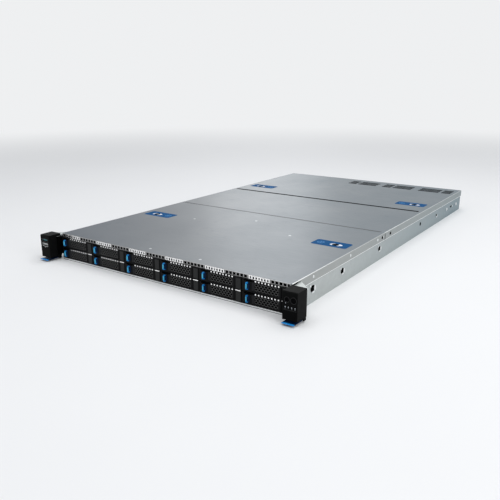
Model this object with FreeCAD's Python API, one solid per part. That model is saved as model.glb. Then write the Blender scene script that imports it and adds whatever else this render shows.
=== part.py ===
import FreeCAD, Part
import math
import os
from FreeCAD import Vector

os.makedirs("parts", exist_ok=True)

# A one-unit rack server, in millimetres. X runs to the right seen from the front,
# Y from the front to the rear, Z up. The origin is the middle of the case's underside.

# Case
case_width = 438.0          # over the skirts of the covers
case_height = 43.2
case_depth = 752.8          # front edge of the side walls to the rear wall
sheet = 1.0                 # steel of the tub and the covers
slip = 0.3                  # gap between pieces that slide past each other
seat = 0.2                  # gap under a cover that lies on its flange
tub_flange = 8.0            # flange turned in along the top of each side wall
front_lip = 2.4             # height of the lip along the floor's front edge
floor_ahead = 3.6           # how far the floor and its lip stand ahead of the side walls

front = -case_depth / 2
rear = case_depth / 2
tub_half = case_width / 2 - sheet - slip
tub_inside = tub_half - sheet
cover_under = case_height - sheet
wall_top = cover_under - seat

# Holes for the rack's rails in each side wall, as distances behind its front edge
rail_hole_radius = 3.2
rail_hole_height = 20.0
front_rail_holes = (54.0, 144.0)
rear_rail_holes = (282.0, 483.0)

# Covers
cover_seam = 300.0          # where the front cover ends, behind the walls' front edge
seam_gap = 0.6
skirt_depth = 12.7          # height of the side skirts
skirt_start = 14.0          # top corner of the skirt's slanted front edge
skirt_slant = 15.0
groove_place = 267.8        # middle of the groove across the rear cover, ahead of the rear wall
groove_width = 8.0
groove_depth = 0.5
groove_end = 7.0            # from the ends of the groove to the cover's sides
cover_button_inset = 35.0   # release buttons, in from the cover's sides
front_button_place = 111.0  # ahead of the seam
rear_button_place = 211.8   # ahead of the rear wall
cover_button_radius = 4.2
cover_button_sunk = 0.5     # top of the button below the cover's face
cover_button_flange = 6.0   # radius of the collar that keeps it under the cover
cover_button_collar = 1.2
rear_vents = ((252, 231), (227, 182), (167, 146), (141, 98), (81, 35), (29, 9))  # in from the right side
rear_vent_place = 58.8      # front edge of the vents, ahead of the rear wall
rear_vent_length = 35.0
rear_vent_slots = 3
rear_vent_rib = 3.6

# Drive bays
columns = 6
divider = 0.6               # steel of the drive cage
shelf = 0.8
cage_under = 4.6            # from the cage's top sheet up to the covers
lower_carrier = 2.8         # underside of the lower row
carrier_gap = 0.25          # above and below the shelf
face_forward = 4.0          # carrier faces ahead of the walls' front edge
cage_length = 156.0         # from the walls' front edge to the backplane
strip_setback = 0.5         # gap between the perforated strip and the front cover
strip_below = 0.2           # top of the perforated strip below the front cover's face
strip_holes = 5             # per column
strip_hole = 4.4

bay_pitch = (2 * tub_inside - divider) / columns
carrier_width = bay_pitch - divider - 2 * slip
face = front - face_forward
strip_top = case_height - strip_below
cage_top = cover_under - cage_under
carrier_height = (cage_top - slip - lower_carrier - shelf - 2 * carrier_gap) / 2
shelf_low = lower_carrier + carrier_height + carrier_gap
upper_carrier = shelf_low + shelf + carrier_gap
rows = (("top", upper_carrier), ("bottom", lower_carrier))

# Drive carrier, with x measured from the middle of its bay
bezel_depth = 12.0
bezel_lip = 1.2
carrier_length = 146.0
rail_thickness = 0.6
rail_height = 11.0
blank_gap = 1.53            # between the filler's two sides and the carrier's
blank_length = 100.0
blank_below = 2.6           # height of the carrier over the filler's
blank_setback = 36.0
tray_floor = 0.8

# Carrier lever: a perforated channel on a barrel at its right end
pivot_inset = 13.465        # from the barrel's middle to the carrier's right side
barrel_radius = 3.4
pin_radius = 1.2            # hinge pins at both ends of the barrel
pin_length = 0.7            # into each lip of the bezel
pin_end = 0.2               # free length of the hole beyond the pin
pin_clearance = 0.05
lever_start = 14.965        # from the carrier's left side to the lever's free end
lever_plate = 2.0
barrel_sides = 10
lever_hook = 4.6            # depth of the hook at the free end
hook_thickness = 1.4
mesh_lines = 2
mesh_web = 1.4              # between neighbouring hexagons
mesh_edge = 0.54            # from the hexagons to the lever's upper and lower edges
mesh_start = 2.1            # from the lever's free end to the first hexagon
mesh_end = 0.4              # least distance from the last hexagon to the barrel

lever_height = carrier_height - 2 * (bezel_lip + slip)
mesh_pitch = ((lever_height - 2 * mesh_edge + mesh_web / math.cos(math.pi / 6))
              / ((mesh_lines - 1) * math.cos(math.pi / 6) + 1 / math.cos(math.pi / 6)))
mesh_across = mesh_pitch - mesh_web  # across the flats of a hexagon

# Release button beside the lever
button_inset = 6.465        # from the carrier's left side
button_width = 5.4
button_height = 10.0
button_out = 4.5
button_in = 5.0
button_travel = 1.8

# Backplane
board_thickness = 1.6
backplane_bottom = 2.5
backplane_below = 0.2       # its top edge below the cage's top sheet
drive_plug = (34.0, 5.5)    # width and height of a drive connector
airflow_width = 46.0        # holes for the air, one above each connector
airflow_over = 1.0          # from the connector to its hole
airflow_below = 0.95        # from the hole to the top of its carrier

# Fans
fan_below = 0.9             # gap over the fans to the covers
fan_depth = 28.0
fan_place = 208.0
fan_rim = 1.0               # least thickness of the frame round the bore
bore_sides = 12
hub_radius = 8.5
hub_length = 17.0
blade_count = 5
hub_sides = 10
blade_tip = 1.0             # gap round the blades
blade_chord = 11.0
blade_thickness = 1.0
blade_angle = 38.0
shaft_radius = 1.5
stator_radius = 7.0
stator_length = 6.0
strut = 2.0
fan_wall_edge = 1.5         # how far the wall reaches in over each fan's sides

fan_size = cover_under - fan_below - sheet - slip
fan_bore = fan_size / 2 - fan_rim
blade_reach = fan_bore - blade_tip

# System board
board_bottom = 6.0
board_margin = 2.7          # from the tub's inside walls
board_front = 272.0
board_step = 188.8          # where the board narrows, ahead of the rear wall
board_rear = 5.8            # ahead of the rear wall
board_tail_gap = 4.2        # from the power supplies' bay to the board beside it
standoff_radius = 3.0
standoff_inset = 14.0       # in from the board's sides
standoff_front = 8.0        # behind the board's front edge
standoff_step = 12.0        # ahead of the step
standoff_tail = 24.0        # ahead of the board's rear edge
standoff_corner = 10.0      # in from the narrow part's left side
processor_offset = 3.0      # from the middle of each half of the board, towards the centre
processor_place = 96.0      # behind the board's front edge
socket_size = (58.0, 80.0, 3.0)
sink_width = 78.0
sink_length = 108.0
sink_base = 4.0
sink_below = 4.7            # gap over the fins to the covers
fin_count = 14
fin_thickness = 0.8
memory_slots = 5            # on each side of each processor
memory_size = (6.0, 140.0, 7.0)
memory_groove = (2.0, 4.5)
memory_gap = 5.0            # between a heatsink and the first socket
memory_middle = 10.0        # from the middle of the board to the nearest socket

# Power supplies
supply_width = 73.5
supply_below = 1.9          # gap over the supplies to the covers
supply_length = 185.0
supply_gap = 2.0
supply_wall = 0.5           # gap to the tub's inside wall
handle_reach = 22.0
handle_width = 30.0
handle_bar = 3.0
inlet_size = (25.0, 17.0)
inlet_depth = 16.0
supply_fan = 15.0

supply_height = cover_under - supply_below - sheet - slip
bay_end = -tub_inside + 2 * (supply_width + supply_wall) + supply_gap + supply_wall
board_half = tub_inside - board_margin
wide_end = rear - board_step
sink_top = cover_under - sink_below
processor_y = front + board_front + processor_place
processor_x = board_half / 2 - processor_offset
memory_first = sink_width / 2 + memory_gap + memory_size[0] / 2
memory_pitch = (processor_x - memory_first - memory_size[0] / 2 - memory_middle) / (memory_slots - 1)

# Rear openings: left and right edges, measured from the power supplies' bay
network_ports = ((10.2, 26.2), (32.2, 48.2), (54.2, 70.2))
usb_ports = ((78.2, 93.2), (97.2, 112.2))
video_port = (118.2, 152.2)
port_height = 13.5
slot_first = 8.2            # from the bay to the first card slot
slot_between = 22.0
slot_last = 12.7            # from the second card slot to the tub's right wall
slot_bottom = 24.0
slot_above = 0.5            # from the slots to the tub's top flange
card_bay_gap = 14.0         # from the video port to the card bay
card_bay_end = 10.7         # from the card bay to the tub's right wall
card_bay_height = 15.0

slot_height = wall_top - sheet - slot_above - slot_bottom

# Rack ears
ear_width = 21.3            # takes the case to the rack's width of 482.6
ear_gap = 1.0               # between the covers' skirts and the ears
ear_front = 26.3            # ahead of the walls' front edge
ear_depth = 23.0
ear_bottom = 6.2
ear_chamfer = 1.2
ear_wall = 1.4
latch_room = 3.2            # pocket in the ear above the latch
bracket_length = 22.0
usb_socket = (12.6, 5.2)
usb_depth = 14.0
usb_heights = (case_height - 9.0, case_height - 16.2)
tongue = (11.0, 1.6, 9.0)
panel_button_height = case_height - 10.6
power_button_inset = 15.6   # from the ear's inner side
power_button_radius = 3.6
locator_button_inset = 6.4
locator_button_radius = 3.0
panel_button_length = 4.0
panel_button_out = 0.4
panel_button_travel = 1.0

ear_inner = case_width / 2 + ear_gap
ear_outer = ear_inner + ear_width

# Rail latches under the ears
latch_thickness = 1.8
latch_bottom = 2.9
latch_side = 0.6            # between the latch and each cheek of the ear
latch_out = 5.5             # ahead of the ear's face
latch_pin_radius = 1.2
latch_pin_place = 19.0      # behind the ear's face

latch_inner = ear_inner + ear_wall + latch_side
latch_outer = ear_outer - ear_wall - latch_side


def box(x, y, z):
    """A block between the low and high ends of each axis."""
    return Part.makeBox(x[1] - x[0], y[1] - y[0], z[1] - z[0], Vector(x[0], y[0], z[0]))


def rod(radius, start, end):
    """A round bar from one point to another."""
    start, end = Vector(*start), Vector(*end)
    return Part.makeCylinder(radius, (end - start).Length, start, end - start)


def prism(points, axis, low, high):
    """A polygon extruded along an axis; its points are the other two coordinates in order."""
    place = {
        "x": lambda p: Vector(low, p[0], p[1]),
        "y": lambda p: Vector(p[0], low, p[1]),
        "z": lambda p: Vector(p[0], p[1], low),
    }[axis]
    along = {"x": Vector(1, 0, 0), "y": Vector(0, 1, 0), "z": Vector(0, 0, 1)}[axis]
    outline = [place(p) for p in points]
    return Part.Face(Part.makePolygon(outline + outline[:1])).extrude(along * (high - low))


def ring(centre, radius, sides, turn=0.0):
    """The corners of a regular polygon, the first at the given angle in degrees."""
    angles = [math.radians(turn + 360 * n / sides) for n in range(sides)]
    return [(centre[0] + radius * math.cos(a), centre[1] + radius * math.sin(a)) for a in angles]


def flats(radius, sides):
    """The corner radius of a polygon whose flats lie at the given radius."""
    return radius / math.cos(math.pi / sides)


def save(name, *solids):
    """Writes one node; several solids stay separate in it."""
    shape = solids[0] if len(solids) == 1 else Part.makeCompound(list(solids))
    shape.exportStep("parts/" + name + ".step")


def mirrored(shape):
    return shape.mirror(Vector(0, 0, 0), Vector(1, 0, 0))


# Case and covers


def tub_shell():
    """Floor and side walls bent from one sheet, with flanges turned in along the top."""
    half, inside, turned = tub_half, tub_inside, tub_half - tub_flange
    outline = [(-half, 0), (half, 0), (half, wall_top), (turned, wall_top),
               (turned, wall_top - sheet), (inside, wall_top - sheet), (inside, sheet),
               (-inside, sheet), (-inside, wall_top - sheet), (-turned, wall_top - sheet),
               (-turned, wall_top), (-half, wall_top)]
    shell = prism(outline, "y", front, rear)
    floor_edge = front - floor_ahead
    nose = box((-tub_inside, tub_inside), (floor_edge, front), (0, sheet))
    lip = box((-tub_inside, tub_inside), (floor_edge, floor_edge + sheet), (0, front_lip))
    wall = box((-tub_inside, tub_inside), (rear - sheet, rear), (sheet, wall_top - sheet))
    return shell.fuse([nose, lip, wall]).removeSplitter()


def rear_openings():
    """Cut-outs of the rear wall for supplies, ports, cards and slots."""
    through = (rear - sheet - 1, rear + 1)
    left, right, bottom, top = supply_bay()
    cuts = [box((left, right), through, (bottom, top))]
    ports = list(network_ports) + list(usb_ports) + [video_port]
    for low, high in ports:
        cuts.append(box((bay_end + low - slip, bay_end + high + slip), through,
                        (port_bottom() - slip, port_bottom() + port_height + slip)))
    for low, high in card_slots():
        cuts.append(box((low + 4, high - 4), through,
                        (slot_bottom + 2, slot_bottom + slot_height - 2)))
    low, high = card_bay()
    cuts.append(box((low + 3, high - 3), through,
                    (port_bottom() + 1, port_bottom() + card_bay_height - 2)))
    return cuts


def port_bottom():
    return board_bottom + board_thickness


def card_slots():
    """Left and right edges of the two card slots, which share the wall beside the bay."""
    start, end = bay_end + slot_first, tub_inside - slot_last
    width = (end - start - slot_between) / 2
    return (start, start + width), (end - width, end)


def card_bay():
    return bay_end + video_port[1] + card_bay_gap, tub_inside - card_bay_end


def supply_bay():
    """The rear wall's opening for both power supplies: left, right, bottom and top."""
    return -tub_inside + slip, bay_end, sheet, sheet + supply_height + 2 * slip


def rail_holes():
    holes = []
    for place in front_rail_holes + rear_rail_holes:
        holes.append(rod(rail_hole_radius, (-case_width, front + place, rail_hole_height),
                         (case_width, front + place, rail_hole_height)))
    return holes


def standoffs():
    """Hexagonal pillars between the floor and the system board."""
    pillars = []
    side = board_half - standoff_inset
    tail = bay_end + board_tail_gap
    lines = (front + board_front + standoff_front, wide_end - standoff_step)
    places = [(x, y) for x in (-side, 0, side) for y in lines]
    last = rear - board_rear - standoff_tail
    places += [(x, last) for x in (tail + standoff_corner, (tail + board_half) / 2, side)]
    for place in places:
        outline = ring(place, standoff_radius, 6)
        pillars.append(prism(outline, "z", sheet, board_bottom))
    return pillars


def slot_covers():
    """Blank plates over the card slots and the card bay, inside the rear wall."""
    low, high = rear - 2 * sheet, rear - sheet
    plates = []
    for left, right in card_slots():
        plate = box((left, right), (low, high), (slot_bottom, slot_bottom + slot_height))
        plates.append(plate)
    plates.append(box(card_bay(), (low, high), (port_bottom(), port_bottom() + card_bay_height)))
    return plates


def chassis_tub():
    tub = tub_shell().cut(rail_holes() + rear_openings())
    middle = supply_bay_middle()
    rib = box((middle - sheet / 2, middle + sheet / 2), (rear - 120, rear - sheet),
              (sheet, wall_top - sheet))
    brace_y = front + cover_seam
    brace = prism([(brace_y - 12, wall_top - sheet), (brace_y + 12, wall_top - sheet),
                   (brace_y + 12, wall_top), (brace_y - 12, wall_top)],
                  "x", -(tub_half - tub_flange), tub_half - tub_flange)
    save("chassis_tub", tub.fuse(rib), brace, *standoffs(), *slot_covers())


def supply_bay_middle():
    return -tub_inside + supply_wall + supply_width + supply_gap / 2


def cover(start, end, slanted):
    """A top sheet with a skirt down each side; the front one's skirts start at a slant."""
    half = case_width / 2
    top = box((-half, half), (start, end), (cover_under, case_height))
    low = case_height - skirt_depth
    first = start + skirt_start if slanted else start
    corner = first + skirt_slant if slanted else start
    skirt = prism([(first, cover_under), (corner, low), (end, low), (end, cover_under)],
                  "x", half - sheet, half)
    return top.fuse([skirt, mirrored(skirt)])


def button_holes(place):
    radius = cover_button_radius + slip
    return [rod(radius, (x, place, cover_under - 1), (x, place, case_height + 1))
            for x in cover_button_x()]


def cover_button_x():
    side = case_width / 2 - cover_button_inset
    return -side, side


def front_cover():
    shape = cover(front, front + cover_seam, True)
    save("front_cover", shape.cut(button_holes(front + cover_seam - front_button_place)))


def rear_cover():
    """The rear cover, with a shallow groove across it and vents over the card slots."""
    shape = cover(front + cover_seam + seam_gap, rear, False)
    middle = rear - groove_place
    reach = case_width / 2 - groove_end
    groove = box((-reach, reach),
                 (middle - groove_width / 2, middle + groove_width / 2),
                 (case_height - groove_depth, case_height + 1))
    cuts = [groove] + button_holes(rear - rear_button_place)
    pitch = (rear_vent_length + rear_vent_rib) / rear_vent_slots
    side = case_width / 2
    for low, high in rear_vents:
        for n in range(rear_vent_slots):
            start = rear - rear_vent_place + n * pitch
            cuts.append(box((side - low, side - high), (start, start + pitch - rear_vent_rib),
                            (cover_under - 1, case_height + 1)))
    save("rear_cover", shape.cut(cuts))


def cover_buttons(name, place):
    """A pair of round buttons, each kept under the cover by its collar."""
    top = case_height - cover_button_sunk
    buttons = []
    for x in cover_button_x():
        collar_top = cover_under - slip
        head = rod(cover_button_radius, (x, place, collar_top - cover_button_collar),
                   (x, place, top))
        collar = prism(ring((x, place), cover_button_flange, 8, 22.5), "z",
                       collar_top - cover_button_collar, collar_top)
        buttons.append(head.fuse(collar).removeSplitter())
    save(name, *buttons)


# Drive cage, carriers and backplane


def bay_middle(column):
    return (column - (columns - 1) / 2) * bay_pitch


def drive_cage():
    """Dividers, shelf plates, and a top sheet bent up into the perforated front strip."""
    back = front + cage_length
    strip_back = front - strip_setback
    strip_front = strip_back - shelf
    outline = [(strip_front, cage_top), (back, cage_top), (back, cage_top + shelf),
               (strip_back, cage_top + shelf), (strip_back, strip_top), (strip_front, strip_top)]
    top = prism(outline, "x", -tub_inside, tub_inside)
    middle = (cage_top + shelf + strip_top) / 2
    pitch = bay_pitch / strip_holes
    holes = []
    for column in range(columns):
        for n in range(strip_holes):
            x = bay_middle(column) + (n - (strip_holes - 1) / 2) * pitch
            r = strip_hole / 2
            holes.append(prism([(x - r, middle), (x, middle - r * 0.8), (x + r, middle),
                                (x, middle + r * 0.8)], "y", strip_front - 1, strip_back + 1))
    pieces = [top.cut(holes)]
    for n in range(columns + 1):
        x = (n - columns / 2) * bay_pitch
        pieces.append(box((x - divider / 2, x + divider / 2), (front + 2 * sheet, back),
                          (sheet, cage_top)))
    for column in range(columns):
        half = (bay_pitch - divider) / 2
        x = bay_middle(column)
        pieces.append(box((x - half, x + half), (front + 2 * sheet, back - 2),
                          (shelf_low, shelf_low + shelf)))
    save("drive_cage", *pieces)


def pivot_y():
    return face + barrel_radius


def carrier(middle, bottom):
    """A bezel with a window for the lever and a pocket for the button, and a tray behind."""
    half = carrier_width / 2
    top = bottom + carrier_height
    bezel = box((middle - half, middle + half), (face, face + bezel_depth), (bottom, top))
    left, pivot = middle - half + lever_start, middle + half - pivot_inset
    window = box((left - slip, pivot + barrel_radius + slip),
                 (face - 1, face + bezel_depth + 1), (bottom + bezel_lip, top - bezel_lip))
    low = bottom + (carrier_height - button_height) / 2
    button = middle - half + button_inset
    pocket = box((button - slip, button + button_width + slip),
                 (face - 1, face + button_in + button_travel + slip),
                 (low - slip, low + button_height + slip))
    holes = prism(ring((pivot, pivot_y()), flats(pin_radius + pin_clearance, 6), 6),
                  "z", bottom + bezel_lip - pin_length - pin_end, top - bezel_lip + pin_length + pin_end)
    back = face + carrier_length
    outer = [middle - half, middle + half - rail_thickness]
    tray = [box((x, x + rail_thickness), (face + bezel_depth, back),
                (bottom, bottom + rail_height)) for x in outer]
    tray.append(box((middle - half, middle + half), (face + bezel_depth, back),
                    (bottom, bottom + tray_floor)))
    tray.append(box((middle - half, middle + half), (back - 2, back),
                    (bottom, bottom + rail_height / 3)))
    return bezel.cut([window, pocket, holes]).fuse(tray).removeSplitter()


def drive_blank(middle, bottom):
    """The filler in the place of a drive."""
    low = bottom + tray_floor + 0.1
    start = face + blank_setback
    half = (carrier_width - blank_gap) / 2
    return box((middle - half, middle + half),
               (start, start + blank_length), (low, low + carrier_height - blank_below))


def lever(middle, bottom):
    """A perforated plate between a hook and a barrel, turning on the barrel's pins."""
    low = bottom + bezel_lip + slip
    high = low + lever_height
    half = carrier_width / 2
    x, left = middle + half - pivot_inset, middle - half + lever_start
    back = face + lever_plate
    barrel = prism(ring((x, pivot_y()), flats(barrel_radius, barrel_sides), barrel_sides, 18),
                   "z", low, high)
    plate = prism([(left, face), (x, face), (x, back), (left + hook_thickness + 0.8, back),
                   (left + hook_thickness, back + 0.8), (left + hook_thickness, face + lever_hook),
                   (left + 0.3, face + lever_hook)], "z", low, high)
    pins = prism(ring((x, pivot_y()), pin_radius, 6), "z", low - slip - pin_length,
                 high + slip + pin_length)
    holes = []
    room = x - barrel_radius - mesh_end - left - mesh_start
    most = 1 + int((room - mesh_across) / mesh_pitch)
    for row in range(mesh_lines):
        above = (mesh_lines - 1) / 2 - row
        z = bottom + carrier_height / 2 + above * mesh_pitch * math.cos(math.pi / 6)
        for n in range(most - row % 2):
            u = left + mesh_start + mesh_across / 2 + (row % 2) * mesh_pitch / 2 + n * mesh_pitch
            outline = ring((u, z), flats(mesh_across / 2, 6), 6, 30)
            holes.append(prism(outline, "y", face - 1, back + 0.5))
    return plate.cut(holes).fuse([barrel, pins]).removeSplitter()


def release_button(middle, bottom):
    """A blue tab with a bevelled top, guided in the bezel's pocket."""
    low = bottom + (carrier_height - button_height) / 2
    high = low + button_height
    tip = face - button_out
    outline = [(tip, low + 0.6), (tip + 0.6, low), (face + button_in, low),
               (face + button_in, high), (tip + 2.6, high), (tip, high - 2.0)]
    left = middle - carrier_width / 2 + button_inset
    return prism(outline, "x", left, left + button_width)


def drives():
    for row, bottom in rows:
        for column in range(columns):
            middle = bay_middle(column)
            tag = row + "_" + str(column + 1)
            save("drive_carrier_" + tag, carrier(middle, bottom), drive_blank(middle, bottom))
            save("carrier_lever_" + tag, lever(middle, bottom))
            save("release_button_" + tag, release_button(middle, bottom))


def drive_backplane():
    """The board behind the bays, with a connector for each drive and holes for the air."""
    start = front + cage_length
    half = tub_inside - 2 * slip
    board = box((-half, half), (start, start + board_thickness),
                (backplane_bottom, cage_top - backplane_below))
    carrier_back = face + carrier_length + slip
    plugs, holes = [], []
    for row, bottom in rows:
        for column in range(columns):
            x, z = bay_middle(column), bottom + drive_plug[1] / 2 + 1.4
            plugs.append(box((x - drive_plug[0] / 2, x + drive_plug[0] / 2),
                             (carrier_back, start), (z, z + drive_plug[1])))
            holes.append(box((x - airflow_width / 2, x + airflow_width / 2),
                             (start - 1, start + board_thickness + 1),
                             (z + drive_plug[1] + airflow_over, bottom + carrier_height - airflow_below)))
    save("drive_backplane", board.cut(holes), *plugs)


# Fans


def fan_frame(middle):
    """A square frame round the rotor, with a stator boss held by a bar."""
    start = front + fan_place
    end = start + fan_depth
    low = sheet + slip
    centre = low + fan_size / 2
    frame = box((middle - fan_size / 2, middle + fan_size / 2), (start, end),
                (low, low + fan_size))
    frame = frame.cut(prism(ring((middle, centre), flats(fan_bore, bore_sides), bore_sides, 15),
                            "y", start - 1, end + 1))
    boss = prism(ring((middle, centre), stator_radius, 8, 22.5), "y", end - stator_length, end)
    reach = fan_size / 2 - 0.5
    bar = box((middle - reach, middle + reach), (end - strut, end),
              (centre - strut / 2, centre + strut / 2))
    bore = prism(ring((middle, centre), flats(shaft_radius + pin_clearance, 8), 8, 22.5), "y",
                 end - stator_length - 1, end - 1)
    return frame.fuse([boss, bar]).cut(bore).removeSplitter()


def fan_rotor(middle):
    """A hub with slanted blades and a shaft into the stator."""
    end = front + fan_place + fan_depth
    centre = sheet + slip + fan_size / 2
    back = end - stator_length - 1
    hub = prism(ring((middle, centre), hub_radius, hub_sides, 90), "y", back - hub_length, back)
    shaft = prism(ring((middle, centre), shaft_radius, 8, 22.5), "y", back, end - 1.5)
    half, thin = blade_chord / 2, blade_thickness / 2
    blade = box((-thin, thin), (-half, half), (hub_radius - 1.5, blade_reach))
    blade.rotate(Vector(0, 0, 0), Vector(0, 0, 1), blade_angle)
    blade.translate(Vector(0, back - hub_length / 2, 0))
    blades = []
    for n in range(blade_count):
        copy = blade.copy()
        copy.rotate(Vector(0, 0, 0), Vector(0, 1, 0), 360 / blade_count * n)
        copy.translate(Vector(middle, 0, centre))
        blades.append(copy)
    return hub.fuse([shaft] + blades)


def fan_wall():
    """The sheet behind the fans that keeps the air from flowing back."""
    start = front + fan_place + fan_depth + slip
    wall = box((-tub_inside + slip, tub_inside - slip), (start, start + sheet),
               (sheet, wall_top - sheet - slip))
    centre = sheet + slip + fan_size / 2
    half = fan_size / 2 - fan_wall_edge
    holes = [box((bay_middle(n) - half, bay_middle(n) + half), (start - 1, start + sheet + 1),
                 (centre - half, centre + half)) for n in range(columns)]
    return wall.cut(holes)


def fans():
    save("fan_frames", fan_wall(), *[fan_frame(bay_middle(n)) for n in range(columns)])
    for n in range(columns):
        save("fan_rotor_" + str(n + 1), fan_rotor(bay_middle(n)))


# System board


def memory_socket(x):
    """A long socket with a groove for the module, pinned to the board."""
    width, length, height = memory_size
    groove, depth = memory_groove
    low = port_bottom()
    outline = [(x - width / 2, low), (x + width / 2, low), (x + width / 2, low + height),
               (x + groove / 2, low + height), (x + groove / 2, low + height - depth),
               (x - groove / 2, low + height - depth), (x - groove / 2, low + height),
               (x - width / 2, low + height)]
    return prism(outline, "y", processor_y - length / 2, processor_y + length / 2)


def memory_sockets():
    sockets = []
    for processor in (-processor_x, processor_x):
        for n in range(memory_slots):
            for side in (-1, 1):
                reach = memory_first + n * memory_pitch
                sockets.append(memory_socket(processor + side * reach))
    return sockets


def port(low, high, height, depth, opening, wall):
    """A connector housing whose socket opens to the rear."""
    base = port_bottom()
    low, high = bay_end + low, bay_end + high
    shell = box((low, high), (rear - depth - sheet, rear), (base, base + height))
    mouth = box((low + wall, high - wall), (rear - opening, rear + 1),
                (base + wall, base + height - wall))
    return shell.cut(mouth)


def rear_ports():
    ports = [port(a, b, port_height, 20, 14, 2.0) for a, b in network_ports]
    for low, high in usb_ports:
        shell = port(low, high, port_height, 17, 12, 1.0)
        base = port_bottom()
        bar = box((bay_end + low + 1, bay_end + high - 1), (rear - 12, rear - 1),
                  (base + port_height / 2 - 1, base + port_height / 2 + 1))
        ports.append(shell.fuse(bar))
    ports.append(port(video_port[0], video_port[1], port_height - 1, 16, 5, 2.5))
    return ports


def system_board():
    half, end, tail = board_half, rear - board_rear, bay_end + board_tail_gap
    outline = [(-half, front + board_front), (half, front + board_front), (half, end),
               (tail, end), (tail, wide_end), (-half, wide_end)]
    board = prism(outline, "z", board_bottom, port_bottom())
    width, length, height = socket_size
    sockets = [box((x - width / 2, x + width / 2),
                   (processor_y - length / 2, processor_y + length / 2),
                   (port_bottom(), port_bottom() + height)) for x in (-processor_x, processor_x)]
    save("system_board", board, *sockets, *memory_sockets(), *rear_ports())


def heatsink(x):
    """A base with fins along the airflow, drawn as one comb and extruded."""
    width = sink_width
    base = port_bottom() + socket_size[2]
    foot = base + sink_base
    pitch = (width - fin_thickness) / (fin_count - 1)
    left = x - width / 2
    outline = [(left + width, base), (left, base)]
    for n in range(fin_count):
        edge = left + n * pitch
        outline += [(edge, foot if n else sink_top), (edge, sink_top)] if n else [(edge, sink_top)]
        outline += [(edge + fin_thickness, sink_top)]
        if n < fin_count - 1:
            outline += [(edge + fin_thickness, foot)]
    return prism(outline, "y", processor_y - sink_length / 2, processor_y + sink_length / 2)


def cpu_heatsinks():
    save("cpu_heatsinks", heatsink(-processor_x), heatsink(processor_x))


# Power supplies


def power_supply(left):
    """A closed box with a rear face that holds the inlet, the fan guard and the handle."""
    right = left + supply_width
    low = sheet + slip
    high = low + supply_height
    body = box((left, right), (rear - supply_length, rear), (low, high))
    width, height = inlet_size
    inlet_left, inlet_low = right - width - 6, low + 5
    cut = box((inlet_left, inlet_left + width), (rear - inlet_depth, rear + 1),
              (inlet_low, inlet_low + height))
    fan_x, fan_z = left + supply_fan + 5, (low + high) / 2
    guard = prism(ring((fan_x, fan_z), supply_fan, 20), "y", rear - 3, rear + 1)
    handle_left = right - handle_width - 4
    top = high - 3
    frame = prism([(handle_left, rear), (handle_left + handle_width, rear),
                   (handle_left + handle_width - 3, rear + handle_reach),
                   (handle_left + 3, rear + handle_reach)], "z", top - handle_bar, top)
    gap = prism([(handle_left + handle_bar, rear), (handle_left + handle_width - handle_bar, rear),
                 (handle_left + handle_width - handle_bar - 3, rear + handle_reach - handle_bar),
                 (handle_left + handle_bar + 3, rear + handle_reach - handle_bar)],
                "z", top - handle_bar - 1, top + 1)
    pins = [box((inlet_left + width / 2 + x - 1, inlet_left + width / 2 + x + 1),
                (rear - inlet_depth, rear - 3), (inlet_low + z, inlet_low + z + 4))
            for x, z in ((-7, 5), (0, 9), (7, 5))]
    return body.cut([cut, guard]).fuse([frame.cut(gap)] + pins)


def power_supplies():
    first = -tub_inside + supply_wall
    save("power_supply_1", power_supply(first))
    save("power_supply_2", power_supply(first + supply_width + supply_gap))


# Rack ears, rail latches and the front panel's buttons


def ear_face():
    return front - ear_front


def ear_block():
    """The right ear's housing: a bevelled block with a pocket for the latch below."""
    y, end = ear_face(), ear_face() + ear_depth
    outline = [(y, ear_bottom), (end, ear_bottom), (end, case_height),
               (y + ear_chamfer, case_height), (y, case_height - ear_chamfer)]
    block = prism(outline, "x", ear_inner, ear_outer)
    pocket = box((ear_inner + ear_wall, ear_outer - ear_wall), (y + ear_wall, end - ear_wall),
                 (ear_bottom - 1, ear_bottom + latch_room))
    cheek_low = latch_bottom - 1.0
    cheeks = []
    for low in (ear_inner, ear_outer - ear_wall):
        cheeks.append(box((low, low + ear_wall),
                          (y + latch_pin_place - 3, y + latch_pin_place + 3),
                          (cheek_low, ear_bottom + 0.5)))
    return block.cut(pocket).fuse(cheeks).cut(latch_pin(pin_clearance))


def latch_pin(clearance):
    """The latch's pivot, which reaches half-way into each cheek of the ear."""
    y, z = ear_face() + latch_pin_place, latch_bottom + latch_pin_radius
    reach = ear_wall / 2 + (clearance > 0) * pin_end
    radius = flats(latch_pin_radius + clearance, 8) if clearance else latch_pin_radius
    return prism(ring((y, z), radius, 8, 22.5), "x", ear_inner + ear_wall - reach,
                 ear_outer - ear_wall + reach)


def ear_bracket():
    """The steel foot between the ear and the tub's side wall, with its gusset."""
    y = ear_face() + ear_depth
    foot = box((tub_half, tub_half + 1.2), (y - 8, y + bracket_length - 6),
               (9.0, case_height - 4.0))
    bridge = box((tub_half, ear_inner), (y - 8, y - 3), (9.0, case_height - 4.0))
    top = case_height - 4.0
    gusset = prism([(tub_half, y), (ear_inner + 9.0, y), (ear_inner + 7.5, y + 3.0),
                    (tub_half + 1.2, y + bracket_length - 7.0), (tub_half, y + bracket_length - 7.0)],
                   "z", top - 1.2, top)
    return foot.fuse([bridge, gusset])


def usb_sockets():
    """Each socket of the left ear, as a cavity and the tongue inside it."""
    y = ear_face()
    x = (ear_inner + ear_outer) / 2
    cuts, tongues = [], []
    for z in usb_heights:
        cuts.append(box((x - usb_socket[0] / 2, x + usb_socket[0] / 2), (y - 1, y + usb_depth),
                        (z - usb_socket[1] / 2, z + usb_socket[1] / 2)))
        tongues.append(box((x - tongue[0] / 2, x + tongue[0] / 2),
                           (y + usb_depth - tongue[2], y + usb_depth),
                           (z + 0.5, z + 0.5 + tongue[1])))
    return cuts, tongues


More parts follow.
